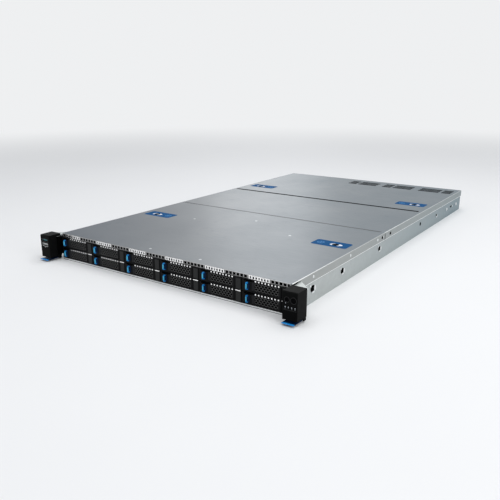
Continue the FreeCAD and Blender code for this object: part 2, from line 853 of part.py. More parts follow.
def panel_button(x, radius):
    start = ear_face() - panel_button_out
    return rod(radius, (x, start, panel_button_height),
               (x, start + panel_button_length, panel_button_height))


def panel_hole(x, radius):
    """The many-sided pocket that a panel button travels in."""
    end = ear_face() - panel_button_out + panel_button_length + panel_button_travel + slip
    outline = ring((x, panel_button_height), flats(radius + slip, 16), 16, 11.25)
    return prism(outline, "y", ear_face() - 1, end)


def rack_ears():
    cuts, tongues = usb_sockets()
    power, locator = ear_inner + power_button_inset, ear_inner + locator_button_inset
    right = ear_block().cut([panel_hole(power, power_button_radius),
                             panel_hole(locator, locator_button_radius)])
    left = ear_block().cut(cuts).fuse(tongues)
    save("right_rack_ear", right, ear_bracket())
    save("left_rack_ear", mirrored(left), mirrored(ear_bracket()))
    save("power_button", panel_button(power, power_button_radius))
    save("locator_button", panel_button(locator, locator_button_radius))


def rail_latch():
    """A flat lever with a rounded root, turning on its pin under the ear."""
    y = ear_face()
    low, high = latch_bottom, latch_bottom + latch_thickness
    tip = y - latch_out
    root = y + latch_pin_place
    plate = prism([(tip, low + 0.4), (tip + 0.4, low), (root, low), (root, high),
                   (tip + 0.8, high), (tip, high - 0.6)], "x", latch_inner, latch_outer)
    barrel = prism(ring((root, latch_bottom + latch_pin_radius), latch_pin_radius + 0.6, 8, 22.5),
                   "x", latch_inner, latch_outer)
    return plate.fuse([barrel, latch_pin(0)])


def rail_latches():
    save("right_rail_latch", rail_latch())
    save("left_rail_latch", mirrored(rail_latch()))


chassis_tub()
front_cover()
rear_cover()
cover_buttons("front_cover_buttons", front + cover_seam - front_button_place)
cover_buttons("rear_cover_buttons", rear - rear_button_place)
drive_cage()
drives()
drive_backplane()
fans()
system_board()
cpu_heatsinks()
power_supplies()
rack_ears()
rail_latches()
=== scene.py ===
import bmesh
import bpy
from math import cos, radians, sin, sqrt
from mathutils import Matrix, Vector


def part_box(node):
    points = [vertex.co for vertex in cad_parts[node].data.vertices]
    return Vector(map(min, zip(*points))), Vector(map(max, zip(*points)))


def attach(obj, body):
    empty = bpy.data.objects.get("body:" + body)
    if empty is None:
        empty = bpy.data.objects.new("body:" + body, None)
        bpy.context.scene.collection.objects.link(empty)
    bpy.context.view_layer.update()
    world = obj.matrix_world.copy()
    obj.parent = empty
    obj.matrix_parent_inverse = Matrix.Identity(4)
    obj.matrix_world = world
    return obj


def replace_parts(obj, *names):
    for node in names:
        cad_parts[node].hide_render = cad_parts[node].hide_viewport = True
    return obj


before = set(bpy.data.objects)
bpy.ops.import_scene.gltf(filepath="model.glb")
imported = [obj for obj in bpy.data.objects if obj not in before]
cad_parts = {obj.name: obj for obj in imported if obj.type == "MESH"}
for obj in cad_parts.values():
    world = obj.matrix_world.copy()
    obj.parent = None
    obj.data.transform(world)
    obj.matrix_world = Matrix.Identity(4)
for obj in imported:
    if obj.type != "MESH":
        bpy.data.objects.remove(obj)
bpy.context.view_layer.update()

MM = 0.001
COLUMNS = range(1, 7)
ROWS = ("top", "bottom")
SIDES = (("left", -1), ("right", 1))


# Finishes

# In metres from the middle: where a cover's face ends, where its bend starts, and the tub's side walls
FACE_END, BEND_START, WALL_START = 0.2184, 0.2179, 0.2171
BEND_LOW = 0.0424


class Tone:
    """A number that changes over a surface. Sums and products of it become the shader's maths."""

    def __init__(self, finish, socket):
        self.finish, self.socket = finish, socket

    def _maths(self, operation, other):
        return self.finish.node("Math", {"operation": operation}, {0: self, 1: other})

    def __add__(self, other):
        return self._maths("ADD", other)

    def __mul__(self, other):
        return self._maths("MULTIPLY", other)

    def __sub__(self, other):
        return self._maths("SUBTRACT", other)

    def __gt__(self, other):
        return self._maths("GREATER_THAN", other)

    def __lt__(self, other):
        return self._maths("LESS_THAN", other)

    def __abs__(self):
        return self._maths("ABSOLUTE", 0.0)


class Finish:
    """One material: constants go on the shader, and tones are linked to it."""

    def __init__(self, name, colour, roughness, metallic=0.0, **constants):
        self.material = bpy.data.materials.new(name)
        self.material.use_nodes = True
        self.tree = self.material.node_tree
        self.shader = self.tree.nodes["Principled BSDF"]
        self.material.diffuse_color = (*colour, 1.0)
        self.feed("Base Color", (*colour, 1.0))
        self.feed("Roughness", roughness)
        self.feed("Metallic", metallic)
        for socket, value in constants.items():
            self.feed(socket.replace("_", " "), value)

    def node(self, kind, settings=None, values=None, output=0):
        made = self.tree.nodes.new("ShaderNode" + kind)
        for name, value in (settings or {}).items():
            if name == "stops":
                ramp = made.color_ramp
                while len(ramp.elements) < len(value):
                    ramp.elements.new(1.0)
                for element, (place, colour) in zip(ramp.elements, value):
                    element.position, element.color = place, (*colour, 1.0)
            else:
                setattr(made, name, value)
        for key, value in (values or {}).items():
            self.fill(made.inputs[key], value)
        return Tone(self, made.outputs[output])

    def fill(self, socket, value):
        if isinstance(value, Tone):
            self.tree.links.new(value.socket, socket)
        else:
            socket.default_value = value

    def feed(self, name, value):
        self.fill(self.shader.inputs[name], value)

    def place(self, stretch=(1.0, 1.0, 1.0)):
        """Object coordinates in metres, stretched along each axis."""
        raw = self.node("TexCoord", output="Object")
        return self.node("Mapping", values={"Vector": raw, "Scale": stretch})

    def axes(self):
        split = self.node("SeparateXYZ", values={0: self.node("TexCoord", output="Object")})
        return [Tone(self, output) for output in split.socket.node.outputs]

    def noise(self, scale, stretch=(1.0, 1.0, 1.0), detail=3.0, rough=0.55):
        return self.node("TexNoise", values={"Vector": self.place(stretch), "Scale": scale,
                                             "Detail": detail, "Roughness": rough})

    def cells(self, scale, output="Distance"):
        return self.node("TexVoronoi", values={"Vector": self.place(), "Scale": scale}, output=output)

    def mix(self, factor, first, second):
        first, second = (c if isinstance(c, Tone) else (*c, 1.0) for c in (first, second))
        return self.node("Mix", {"data_type": "RGBA"}, {0: factor, 6: first, 7: second}, 2)

    def shades(self, factor, colour, low, high):
        """A colour that goes from low to high times itself."""
        return self.mix(factor, grown(colour, low), grown(colour, high))

    def coat(self, colour, roughness, height, strength, depth):
        """Links what a surface is made of, and gives the finished material."""
        self.feed("Base Color", colour)
        self.feed("Roughness", roughness)
        self.feed("Normal", self.node("Bump", values={"Height": height, "Strength": strength,
                                                      "Distance": depth}))
        return self.material


def grown(colour, factor):
    return tuple(min(1.0, c * factor) for c in colour)


def satin_steel():
    """Cover sheet: a fine grain from side to side, with painted sheen and shade, bluer and darker towards the
    back and darker at the front left, and a painted highlight where it bends.
    """
    finish = Finish("cover_satin_steel", (0.30, 0.32, 0.34), 0.40, 0.94)
    across, along, up = finish.axes()
    lines = finish.noise(1400.0, (0.035, 1.0, 1.0), 2.0)
    smudge = finish.noise(9.0, detail=5.0)
    rubbed = finish.noise(38.0, detail=6.0, rough=0.7) > 0.63
    # Painted sheen: the face runs from darker at the front left, through lighter, to darker and bluer at the
    # back right
    shade = along * 0.7 + across * 0.9 + 0.5 + (smudge - 0.5) * 0.25 + (lines - 0.5) * 0.12
    stops = ((0.0, (0.066, 0.086, 0.110)), (0.30, (0.220, 0.235, 0.250)), (1.0, (0.126, 0.166, 0.194)))
    face = finish.node("ValToRGB", {"stops": stops}, {0: shade})
    side = finish.mix(smudge, (0.345, 0.360, 0.355), (0.395, 0.410, 0.400))
    # Painted shade: the skirts turn darker and bluer towards the back
    side = finish.mix(along * 1.1 + 0.3, side, (0.20, 0.26, 0.28))
    sheet = finish.mix(abs(across) > FACE_END, face, side)
    # Painted highlight along the rounded bends
    bend = (abs(across) > BEND_START) * (up > BEND_LOW)
    return finish.coat(finish.mix(bend * 0.45, sheet, (0.80, 0.82, 0.82)),
                       lines * 0.16 + smudge * 0.12 + rubbed * 0.03 + 0.25, lines, 0.12, 0.00004)


def zinc_plate(name, colour, far=(1.0, 1.0, 1.0)):
    """Plated sheet with pale crystal patches. Its outer walls take a painted shade towards the back, in
    another tint.
    """
    finish = Finish(name, colour, 0.42, 0.85)
    lightness = finish.node("SeparateColor", values={0: finish.cells(150.0, "Color")})
    cloud = finish.noise(14.0, detail=4.0)
    across, along = finish.axes()[:2]
    # Painted shade: the outer walls grow darker and bluer towards the back
    painted_shade_towards_back = finish.node("Math", {"operation": "MULTIPLY", "use_clamp": True},
                       {0: along * 1.55 + 0.42, 1: abs(across) > WALL_START})
    patches = lightness * 0.5 + cloud * 0.5
    painted_shade_tint = [c * f for c, f in zip(colour, far)]
    near, away = (finish.shades(patches, shade, 0.88, 1.10) for shade in (colour, painted_shade_tint))
    return finish.coat(finish.mix(painted_shade_towards_back, near, away), lightness * 0.10 + cloud * 0.16 + 0.28,
                       finish.noise(1800.0, detail=1.0), 0.10, 0.00003)


def moulding(name, colour, roughness, scale=2600.0, depth=0.00005, spread=0.18, shine=0.35):
    """Moulded plastic: a spark-eroded grain and a slight cloud."""
    finish = Finish(name, colour, roughness, Specular_IOR_Level=shine)
    grain = finish.noise(scale, detail=2.0)
    cloud = finish.noise(24.0, detail=4.0)
    return finish.coat(finish.shades(cloud, colour, 1.0 - spread, 1.0 + spread),
                       cloud * 0.14 + grain * 0.10 + (roughness - 0.12), grain, 0.30, depth)


def printed_film(name, colour):
    """Label film: flat ink with a fine screen in it."""
    finish = Finish(name, colour, 0.60, Specular_IOR_Level=0.04)
    grain = finish.noise(900.0)
    screen = grain * 0.6 + finish.noise(60.0) * 0.4
    return finish.coat(finish.shades(screen, colour, 0.86, 1.12), grain * 0.12 + 0.54, grain, 0.08, 0.00002)


def plated_metal(name, colour, roughness, metallic=1.0):
    """Small plated pieces such as shells, pins and screws."""
    finish = Finish(name, colour, roughness, metallic)
    cloud = finish.noise(210.0, detail=4.0)
    return finish.coat(finish.shades(cloud, colour, 0.85, 1.08), cloud * 0.20 + (roughness - 0.08),
                       finish.noise(2400.0, detail=1.0), 0.08, 0.00003)


def circuit_board():
    """Green solder mask over a net of copper tracks, with a sprinkle of plated holes."""
    colour = (0.008, 0.075, 0.032)
    finish = Finish("board_green", colour, 0.34, Specular_IOR_Level=0.55)
    cells = finish.node("TexVoronoi", {"distance": "CHEBYCHEV"},
                        {"Vector": finish.place(), "Scale": 170.0, "Randomness": 0.75})
    tracks = abs(finish.node("Math", {"operation": "FRACT"}, {0: cells * 5.0}) - 0.5) < 0.13
    holes = finish.cells(330.0) < 0.16
    cloud = finish.noise(18.0, detail=4.0)
    tracked = finish.mix(tracks * 0.65, finish.shades(cloud, colour, 0.75, 1.35), (0.018, 0.165, 0.070))
    return finish.coat(finish.mix(holes * 0.8, tracked, (0.42, 0.33, 0.13)),
                       cloud * 0.12 - tracks * 0.04 + 0.28, tracks, 0.25, 0.00004)


def cast_fins():
    """Aluminium fins with a fine grain along them."""
    finish = Finish("fin_aluminium", (0.66, 0.68, 0.70), 0.36, 1.0)
    lines = finish.noise(1500.0, (1.0, 0.04, 1.0), 2.0)
    cloud = finish.noise(30.0, detail=4.0)
    return finish.coat(finish.mix(lines * 0.5 + cloud * 0.5, (0.56, 0.58, 0.60), (0.76, 0.78, 0.80)),
                       lines * 0.18 + cloud * 0.10 + 0.22, lines, 0.15, 0.00004)


COVER = satin_steel()
# The tub's outer walls get painted shade towards the back
TUB = zinc_plate("tub_zinc_plate", (0.48, 0.51, 0.505), (0.42, 0.53, 0.60))
CAGE = zinc_plate("cage_zinc_plate", (0.40, 0.41, 0.41))
NICKEL = plated_metal("bright_nickel", (0.95, 0.95, 0.95), 0.24)
# Bright steel for painted highlights on edges, lips and marks, and for the formed screws
BRIGHT_HIGHLIGHT_STEEL = plated_metal("hem_bright_steel", (0.90, 0.92, 0.92), 0.30, 0.45)
SCREW = plated_metal("screw_steel", (0.62, 0.64, 0.66), 0.34)
SHELL = plated_metal("port_shell", (0.66, 0.67, 0.68), 0.30)
GOLD = plated_metal("contact_gold", (0.85, 0.62, 0.22), 0.28)
DUSK = plated_metal("dark_steel", (0.10, 0.105, 0.11), 0.42)
STRIP = plated_metal("strip_steel", (0.36, 0.36, 0.36), 0.38)
EAR = moulding("ear_black", (0.0046, 0.0048, 0.0049), 0.50, shine=0.03)
RING = moulding("ring_grey", (0.030, 0.031, 0.032), 0.40, shine=0.2)
# Paler blue for a painted highlight on the release tabs
GLINT = moulding("release_pale_blue", (0.10, 0.58, 0.88), 0.25, 1800.0, 0.00004, 0.10)
EAR_DARK = moulding("ear_panel_black", (0.0015, 0.0015, 0.0016), 0.60, shine=0.04)
CARRIER = moulding("carrier_black", (0.0028, 0.0030, 0.0034), 0.50, shine=0.10)
LEVER = moulding("lever_black", (0.0030, 0.0032, 0.0036), 0.44, shine=0.12)
MESH = moulding("mesh_black", (0.0620, 0.0630, 0.0620), 0.36, shine=0.45)
GRIP = moulding("grip_grey", (0.010, 0.0105, 0.012), 0.50, shine=0.15)
PLATE = moulding("end_plate_grey", (0.026, 0.027, 0.027), 0.52, shine=0.15)
DARK = moulding("deep_shadow_black", (0.0012, 0.0012, 0.0014), 0.85, shine=0.02)
BUTTON = moulding("button_black", (0.0022, 0.0022, 0.0025), 0.70, shine=0.02)
BLUE = moulding("release_blue", (0.008, 0.245, 0.66), 0.34, 1800.0, 0.00004, 0.10)
# Darker blue for the shaded parts of the blue pieces: painted shade
BLUE_PAINTED_SHADE = moulding("release_dark_blue", (0.002, 0.012, 0.045), 0.45, 1800.0, 0.00004, 0.10, 0.1)
TEAL = moulding("tongue_teal", (0.010, 0.16, 0.19), 0.40)
LAMP = moulding("status_light_green", (0.030, 0.42, 0.10), 0.25, shine=0.5)
VIDEO = moulding("video_port_blue", (0.012, 0.050, 0.300), 0.40)
TONGUE = moulding("tongue_white", (0.62, 0.63, 0.62), 0.40)
FAN = moulding("fan_black", (0.012, 0.012, 0.013), 0.50)
SOCKET = moulding("socket_black", (0.010, 0.010, 0.011), 0.45)
SOCKET_PALE = moulding("socket_grey", (0.22, 0.23, 0.24), 0.45)
BOARD = circuit_board()
FINS = cast_fins()
LABEL = printed_film("label_blue", (0.004, 0.072, 0.205))
LABEL_PALE = printed_film("label_light_blue", (0.110, 0.29, 0.56))
LABEL_WHITE = printed_film("label_white", (0.72, 0.75, 0.80))
PRINT = printed_film("print_grey", (0.30, 0.31, 0.32))


# Shaping. Every size below is in millimetres.


def corners_in(geometry):
    return [part for part in geometry if isinstance(part, bmesh.types.BMVert)]


def joined_to(verts, kind):
    """The edges or faces at some corners, each once."""
    return list(dict.fromkeys(part for vert in verts for part in getattr(vert, kind)))


def bevel_edges(shape, edges, width, segments=2, clamp=False):
    bmesh.ops.bevel(shape, geom=edges, offset=width, offset_type="OFFSET", affect="EDGES",
                    segments=segments, profile=0.5, material=-1, clamp_overlap=clamp)


def turned(place, way):
    """Moves to a place and turns the z axis along a way."""
    return Matrix.Translation(place) @ Vector((0, 0, 1)).rotation_difference(way).to_matrix().to_4x4()


def pull(shape, faces, way):
    """Pulls flat faces out into a solid, and gives all of its faces."""
    far = corners_in(bmesh.ops.extrude_face_region(shape, geom=faces, use_keep_orig=True)["geom"])
    bmesh.ops.translate(shape, vec=way, verts=far)
    own = joined_to(far + [vert for face in faces for vert in face.verts], "link_faces")
    bmesh.ops.recalc_face_normals(shape, faces=own)
    return own


def block(shape, x, y, z, bevel=0.0, segments=2):
    """A block between the ends of each axis, with its edges rounded."""
    made = bmesh.ops.create_cube(shape, size=1.0)["verts"]
    low, high = (Vector([end(pair) for pair in (x, y, z)]) for end in (min, max))
    bmesh.ops.scale(shape, vec=high - low, verts=made)
    bmesh.ops.translate(shape, vec=(low + high) / 2, verts=made)
    if bevel:
        bevel_edges(shape, joined_to(made, "link_edges"), bevel, segments)


def rod(shape, radius, start, end, sides=24, bevel=0.0, tip=None):
    """A round bar, or a cone where its tip has another radius."""
    start, end = Vector(start), Vector(end)
    made = bmesh.ops.create_cone(shape, cap_ends=True, segments=sides, radius1=radius,
                                 radius2=radius if tip is None else tip, depth=(end - start).length,
                                 matrix=turned((start + end) / 2, end - start))["verts"]
    if bevel:
        rims = [edge for edge in joined_to(made, "link_edges")
                if len(edge.link_faces) == 2 and any(len(face.verts) > 4 for face in edge.link_faces)]
        bevel_edges(shape, rims, bevel)


def plate(shape, corners, axis, low, high, bevel=0.0):
    """A flat outline pulled out along an axis."""
    n = "xyz".index(axis)
    face = shape.faces.new([shape.verts.new((*corner[:n], low, *corner[n:])) for corner in corners])
    own = pull(shape, [face], Vector([(high - low) * (k == n) for k in range(3)]))
    if bevel:
        bevel_edges(shape, list(dict.fromkeys(edge for face in own for edge in face.edges)), bevel)


def rounded(x, y, radius, steps=4):
    """The corners of a rectangle with round corners."""
    left, right = min(x) + radius, max(x) - radius
    low, high = y[0] + radius, y[1] - radius
    corners = []
    for cx, cy, first in ((right, high, 0), (left, high, 90), (left, low, 180), (right, low, 270)):
        for n in range(steps + 1):
            angle = radians(first + 90 * n / steps)
            corners.append((cx + radius * cos(angle), cy + radius * sin(angle)))
    return corners


def pierced(shape, outline, centre, radius, low, high):
    """A thin plate lying flat, with a round hole in it."""
    outer = [shape.verts.new((x, y, low)) for x, y in outline]
    edges = [shape.edges.new((outer[n - 1], outer[n])) for n in range(len(outer))]
    hole = bmesh.ops.create_circle(shape, cap_ends=False, segments=32, radius=radius,
                                   matrix=Matrix.Translation((*centre, low)))["verts"]
    filled = bmesh.ops.triangle_fill(shape, use_beauty=True, use_dissolve=False,
                                     edges=edges + joined_to(hole, "link_edges"))["geom"]
    pull(shape, [part for part in filled if isinstance(part, bmesh.types.BMFace)], (0, 0, high - low))


def washer(shape, inner, outer, start, end, sides=32):
    """A flat ring between two points on its axis."""
    along = Vector(end) - Vector(start)
    rims = [vert for radius in (inner, outer) for vert in bmesh.ops.create_circle(
        shape, cap_ends=False, segments=sides, radius=radius, matrix=turned(start, along))["verts"]]
    pull(shape, bmesh.ops.bridge_loops(shape, edges=joined_to(rims, "link_edges"))["faces"], along)


def honeycomb(shape, x, z, y, pitch, web, squash):
    """Fills a new shape with staggered holes between the ends of x and z, from y[0] to y[1] thick."""
    rise = (z[1] - z[0]) / squash
    step = pitch * sqrt(3) / 2
    bmesh.ops.create_circle(shape, cap_ends=True, segments=6, radius=pitch / sqrt(3))
    bmesh.ops.inset_individual(shape, faces=shape.faces[:], thickness=web / 2, use_even_offset=True)
    bmesh.ops.delete(shape, geom=[f for f in shape.faces if len(f.verts) == 6], context="FACES")
    first = shape.faces[:] + shape.edges[:] + shape.verts[:]
    for row in range(int(rise / step) + 2):
        for n in range(int((x[1] - x[0]) / pitch) + 2):
            copy = bmesh.ops.duplicate(shape, geom=first)["geom"]
            bmesh.ops.translate(shape, verts=corners_in(copy),
                                vec=(x[0] + (n + row % 2 / 2) * pitch, row * step, 0))
    bmesh.ops.delete(shape, geom=first, context="VERTS")
    bmesh.ops.remove_doubles(shape, verts=shape.verts[:], dist=0.02)
    for place, way in (((x[0], 0, 0), (-1, 0, 0)), ((x[1], 0, 0), (1, 0, 0)),
                       ((0, 0, 0), (0, -1, 0)), ((0, rise, 0), (0, 1, 0))):
        bmesh.ops.bisect_plane(shape, geom=shape.verts[:] + shape.edges[:] + shape.faces[:],
                               plane_co=place, plane_no=way, clear_outer=True)
    bmesh.ops.scale(shape, verts=shape.verts[:], vec=(1, squash, 1))
    bmesh.ops.rotate(shape, verts=shape.verts[:], matrix=Matrix.Rotation(radians(90), 3, "X"))
    bmesh.ops.translate(shape, verts=shape.verts[:], vec=(0, y[1], z[0]))
    pull(shape, shape.faces[:], (0, y[0] - y[1], 0))


def built(*steps):
    """A new shape from steps, each of which is a shaping function and what it takes."""
    shape = bmesh.new()
    for draw, *values in steps:
        draw(shape, *values)
    return shape


def seated(name, shape, body, finish, slot, at=(0.0, 0.0, 0.0), smooth=False, keep=False):
    """Puts a shape into the scene as a piece of a body."""
    mesh = bpy.data.meshes.new(name)
    shape.to_mesh(mesh)
    if not keep:
        shape.free()
    mesh.transform(Matrix.Scale(MM, 4) @ Matrix.Translation(at))
    for one in finish if isinstance(finish, tuple) else (finish,):
        mesh.materials.append(one)
    if smooth:
        mesh.shade_smooth()
        mesh.set_sharp_from_angle(angle=radians(35))
    piece = bpy.data.objects.new(name, mesh)
    bpy.context.scene.collection.objects.link(piece)
    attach(piece, body)
    return piece


def add(name, body, finish, slot, *steps, **how):
    return seated(name, built(*steps), body, finish, slot, **how)


def repeat(name, places, finish, slot, *steps):
    """The same shape on many bodies, each moved to its own place."""
    shape = built(*steps)
    made = {tag: seated(name + "_" + tag, shape, body, finish, slot, at, keep=True)
            for tag, (body, at) in places.items()}
    shape.free()
    return made


def level(piece):
    """Shades faces that lie square to an axis flat, and the rounded edges between them round."""
    for face in piece.data.polygons:
        face.use_smooth = max(abs(part) for part in face.normal) < 0.999
    return piece


def span(node):
    """Lowest and highest corner of a node in millimetres."""
    low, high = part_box(node)
    return low / MM, high / MM


def dress(finish, *nodes):
    for node in nodes:
        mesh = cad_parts[node].data
        mesh.materials.clear()
        mesh.materials.append(finish)


def merged_copy(node):
    """A node's own shape with its triangles joined into whole faces, in millimetres."""
    shape = bmesh.new()
    shape.from_mesh(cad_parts[node].data)
    bmesh.ops.scale(shape, vec=(1 / MM,) * 3, verts=shape.verts[:])
    bmesh.ops.remove_doubles(shape, verts=shape.verts[:], dist=0.001)
    bmesh.ops.dissolve_limit(shape, angle_limit=radians(0.5), verts=shape.verts[:],
                             edges=shape.edges[:], use_dissolve_boundaries=False)
    return shape


def paint(shape, pick):
    """Gives each loose solid of a shape the finish that its corners call for."""
    waiting = set(shape.verts)
    while waiting:
        solid, edge = set(), [waiting.pop()]
        while edge:
            vert = edge.pop()
            solid.add(vert)
            near = [e.other_vert(vert) for e in vert.link_edges]
            edge += [v for v in near if v in waiting]
            waiting.difference_update(near)
        low, high = (Vector([end(v.co[n] for v in solid) for n in range(3)]) for end in (min, max))
        for face in joined_to(solid, "link_faces"):
            face.material_index = pick(low, high, face)


def round_off(shape, chosen, width, segments):
    """Rounds the edges that a test picks out."""
    edges = [e for e in shape.edges if len(e.link_faces) == 2
             and e.calc_face_angle(0.0) > radians(30) and chosen(e)]
    bevel_edges(shape, edges, width, segments, True)


# Finishes of the pieces that keep their own shape

TAGS = [row + "_" + str(column) for row in ROWS for column in COLUMNS]
dress(TUB, "chassis_tub", "power_supply_1", "power_supply_2")
dress(CAGE, "drive_cage")
dress(CARRIER, *["drive_carrier_" + tag for tag in TAGS])
dress(LEVER, *["carrier_lever_" + tag for tag in TAGS])
dress(BLUE, "left_rail_latch", "right_rail_latch", *["release_button_" + tag for tag in TAGS])
dress(COVER, "front_cover", "rear_cover")
dress(BUTTON, "front_cover_buttons", "rear_cover_buttons", "power_button", "locator_button")
dress(BOARD, "drive_backplane", "system_board")
dress(FAN, "fan_frames", *["fan_rotor_" + str(column) for column in COLUMNS])
dress(FINS, "cpu_heatsinks")
dress(EAR, "left_rack_ear", "right_rack_ear")

FRONT, REAR = span("front_cover")[0].y, span("rear_cover")[1].y
SIDE, TOP = span("front_cover")[1].x, span("front_cover")[1].z
WALL = SIDE - 1.3           # outside of the tub's side walls


# Drive carriers, with x from the middle of the bay, y from the carriers' face, z from their underside

TALL = 16.6
FACE = span("drive_carrier_top_1")[0].y
carriers = {}
for tag in TAGS:
    low, high = span("drive_carrier_" + tag)
    carriers[tag] = ("drive_carrier_" + tag, ((low.x + high.x) / 2, FACE, low.z))
levers = {tag: ("carrier_lever_" + tag, at) for tag, (body, at) in carriers.items()}
buttons = {tag: ("release_button_" + tag, at) for tag, (body, at) in carriers.items()}
lower_row = {tag: place for tag, place in carriers.items() if tag.startswith("bottom")}

LEVER_LEFT = -20.5          # the lever's free end
LEVER_LOW, LEVER_HIGH = 1.5, 15.1
LEVER_RIM = 0.9
LEVER_Z = (LEVER_LOW, LEVER_HIGH)
MESH_X = (-15.6, 21.6)
PIVOT = (22.0, 3.4)
STUD_PITCH = 5.0
STUDS = [-14.2 + n * STUD_PITCH for n in range(8)]

# The lever: a rim round the mesh, a hook at the free end, and the barrel with its pins
lever_bodies = repeat(
    "lever_body", levers, LEVER, "black_plastic",
    (block, (LEVER_LEFT, MESH_X[1]), (0.0, 2.0), (LEVER_LOW, LEVER_LOW + LEVER_RIM), 0.15),
    (block, (LEVER_LEFT, MESH_X[1]), (0.0, 2.0), (LEVER_HIGH - LEVER_RIM, LEVER_HIGH), 0.15),
    (block, (LEVER_LEFT, LEVER_LEFT + 1.4), (0.4, 4.6), LEVER_Z, 0.2),
    (rod, 3.38, (*PIVOT, LEVER_LOW), (*PIVOT, LEVER_HIGH), 28, 0.25),
    (rod, 1.15, (*PIVOT, LEVER_LOW - 0.9), (*PIVOT, LEVER_HIGH + 0.9), 14))
for tag, piece in lever_bodies.items():
    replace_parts(piece, "carrier_lever_" + tag)
repeat("lever_mesh", levers, MESH, "black_plastic",
       (honeycomb, (MESH_X[0] - 0.2, MESH_X[1]), (LEVER_LOW + 0.7, LEVER_HIGH - 0.7), (0.25, 0.75),
        STUD_PITCH, 0.80, 0.67))
# A dark sheet behind the mesh: painted shade, so that its holes read black
repeat("lever_backing", levers, DARK, "black_plastic",
       (block, MESH_X, (1.75, 1.95), (LEVER_LOW + 0.5, LEVER_HIGH - 0.5)))
# The plain strip at the free end
repeat("lever_grip", levers, GRIP, "black_plastic",
       (block, (LEVER_LEFT, MESH_X[0]), (0.0, 1.9), LEVER_Z, 0.35, 3))

TAB_LEFT, TAB_RIDGE, TAB_RIGHT = -29.0, -26.4, -23.6
TAB_LOW, TAB_HIGH = TALL / 2 - 5.0, TALL / 2 + 5.0
TAB_INNER = (TAB_LOW + 0.05, TAB_HIGH - 0.05)

# The blue ridge of the tab, with a short arm along its top and its bottom
tabs = repeat(
    "release_tab", buttons, BLUE, "blue_plastic",
    (plate, [(-3.9, TAB_LOW + 0.6), (-3.3, TAB_LOW), (5.0, TAB_LOW), (5.0, TAB_HIGH), (-2.5, TAB_HIGH),
             (-3.9, TAB_HIGH - 1.3)], "x", TAB_LEFT + 1.2, TAB_RIDGE, 0.25),
    *[(block, (TAB_RIDGE - 0.3, TAB_RIDGE + 1.5), (-3.2, 0.5), (low, low + 1.1), 0.2)
      for low in (TAB_LOW + 0.1, TAB_HIGH - 1.2)])
for tag, piece in tabs.items():
    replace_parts(piece, "release_button_" + tag)
# The hollow beside the ridge, where the finger slides in, in darker blue: painted shade on its side
repeat("release_tab_side", buttons, BLUE_PAINTED_SHADE, "blue_plastic",
       (plate, [(TAB_RIDGE - 0.1, -2.2), (TAB_RIDGE + 1.5, -1.3), (TAB_RIGHT, -0.5), (TAB_RIGHT, 4.9),
                (TAB_RIDGE - 0.1, 4.9)], "z", *TAB_INNER, 0.2),
       (block, (TAB_LEFT, TAB_LEFT + 1.3), (-2.0, 4.9), TAB_INNER, 0.3))
# A painted highlight in paler blue along the inner edge of the ridge
repeat("release_tab_edge", buttons, GLINT, "blue_plastic",
       (plate, [(TAB_RIDGE - 1.0, -4.3), (TAB_RIDGE + 0.15, -3.7), (TAB_RIDGE + 0.15, -2.4),
                (TAB_RIDGE - 1.0, -2.4)], "z", TAB_LOW + 1.8, TAB_HIGH - 2.0, 0.1))

# Bright studs over the mesh, as painted highlights; a dash and a grey plate at the right end
repeat("carrier_studs", carriers, NICKEL, "black_plastic",
       *[(block, (x - 0.95, x + 0.95), (-0.2, 0.3), (TALL - 1.8, TALL + 0.1), 0.15) for x in STUDS])
repeat("carrier_dash", lower_row, NICKEL, "black_plastic",
       (block, (25.8, 34.6), (-0.4, 0.6), (TALL - 1.1, TALL + 0.1), 0.25))
repeat("carrier_end_plate", carriers, PLATE, "black_plastic",
       (block, (26.6, 34.4), (-0.3, 0.8), (0.7, TALL - 1.3), 0.25))
# The dark slot over the tab, which runs on above the lever's free end, and its rim
SLOT_X = (-32.2, LEVER_LEFT - 0.4)
repeat("tab_slot", carriers, DARK, "black_plastic",
       (block, SLOT_X, (-0.35, 0.3), (TAB_HIGH + 0.65, TALL), 0.1),
       (block, (LEVER_LEFT - 0.6, -16.2), (-0.35, 0.3), (TALL - 1.1, TALL), 0.1))
repeat("tab_slot_rim", carriers, PLATE, "black_plastic",
       (block, SLOT_X, (-0.5, 0.3), (TAB_HIGH + 0.35, TAB_HIGH + 0.65), 0.1))


# Perforated strip in front of the cover, and the floor's front edge with a painted highlight and a painted
# shadow

low, high = span("drive_cage")
STRIP_FRONT, STRIP_LOW, STRIP_HIGH = low.y, 37.9, high.z - 0.1
STRIP_X = (low.x + 1.0, high.x - 1.0)


def pierced_strip(shape, x, pitch, web, low, high, rail):
    """A strip standing on edge, pierced by a row of holes between its webs."""
    block(shape, x, (-0.45, 0.0), (low, low + rail), 0.1)
    block(shape, x, (-0.45, 0.0), (high - rail, high), 0.1)
    start = x[0]
    while start < x[1]:
        block(shape, (start, min(start + web, x[1])), (-0.42, 0.0), (low + 0.3, high - 0.3), 0.12)
        start += pitch


add("strip_facing", "chassis", STRIP, "plated_steel",
    (pierced_strip, STRIP_X, 6.011, 1.5, STRIP_LOW, STRIP_HIGH, 0.6), at=(0, STRIP_FRONT, 0))
# A bright nickel insert in the left part of each column: painted highlight
for column in COLUMNS:
    middle = carriers["top_" + str(column)][1][0]
    add("strip_insert_" + str(column), "chassis", NICKEL, "plated_steel",
        (pierced_strip, (-26.5, 6.2), 4.4, 2.0, STRIP_LOW, STRIP_HIGH - 0.3, 0.8),
        at=(middle, STRIP_FRONT - 0.4, 0))
# A dark sheet behind the strip's holes: painted shade
add("strip_backing", "chassis", DARK, "plated_steel",
    (block, STRIP_X, (-0.1, -0.02), (STRIP_LOW + 0.1, STRIP_HIGH - 0.1), 0.02), at=(0, STRIP_FRONT, 0))
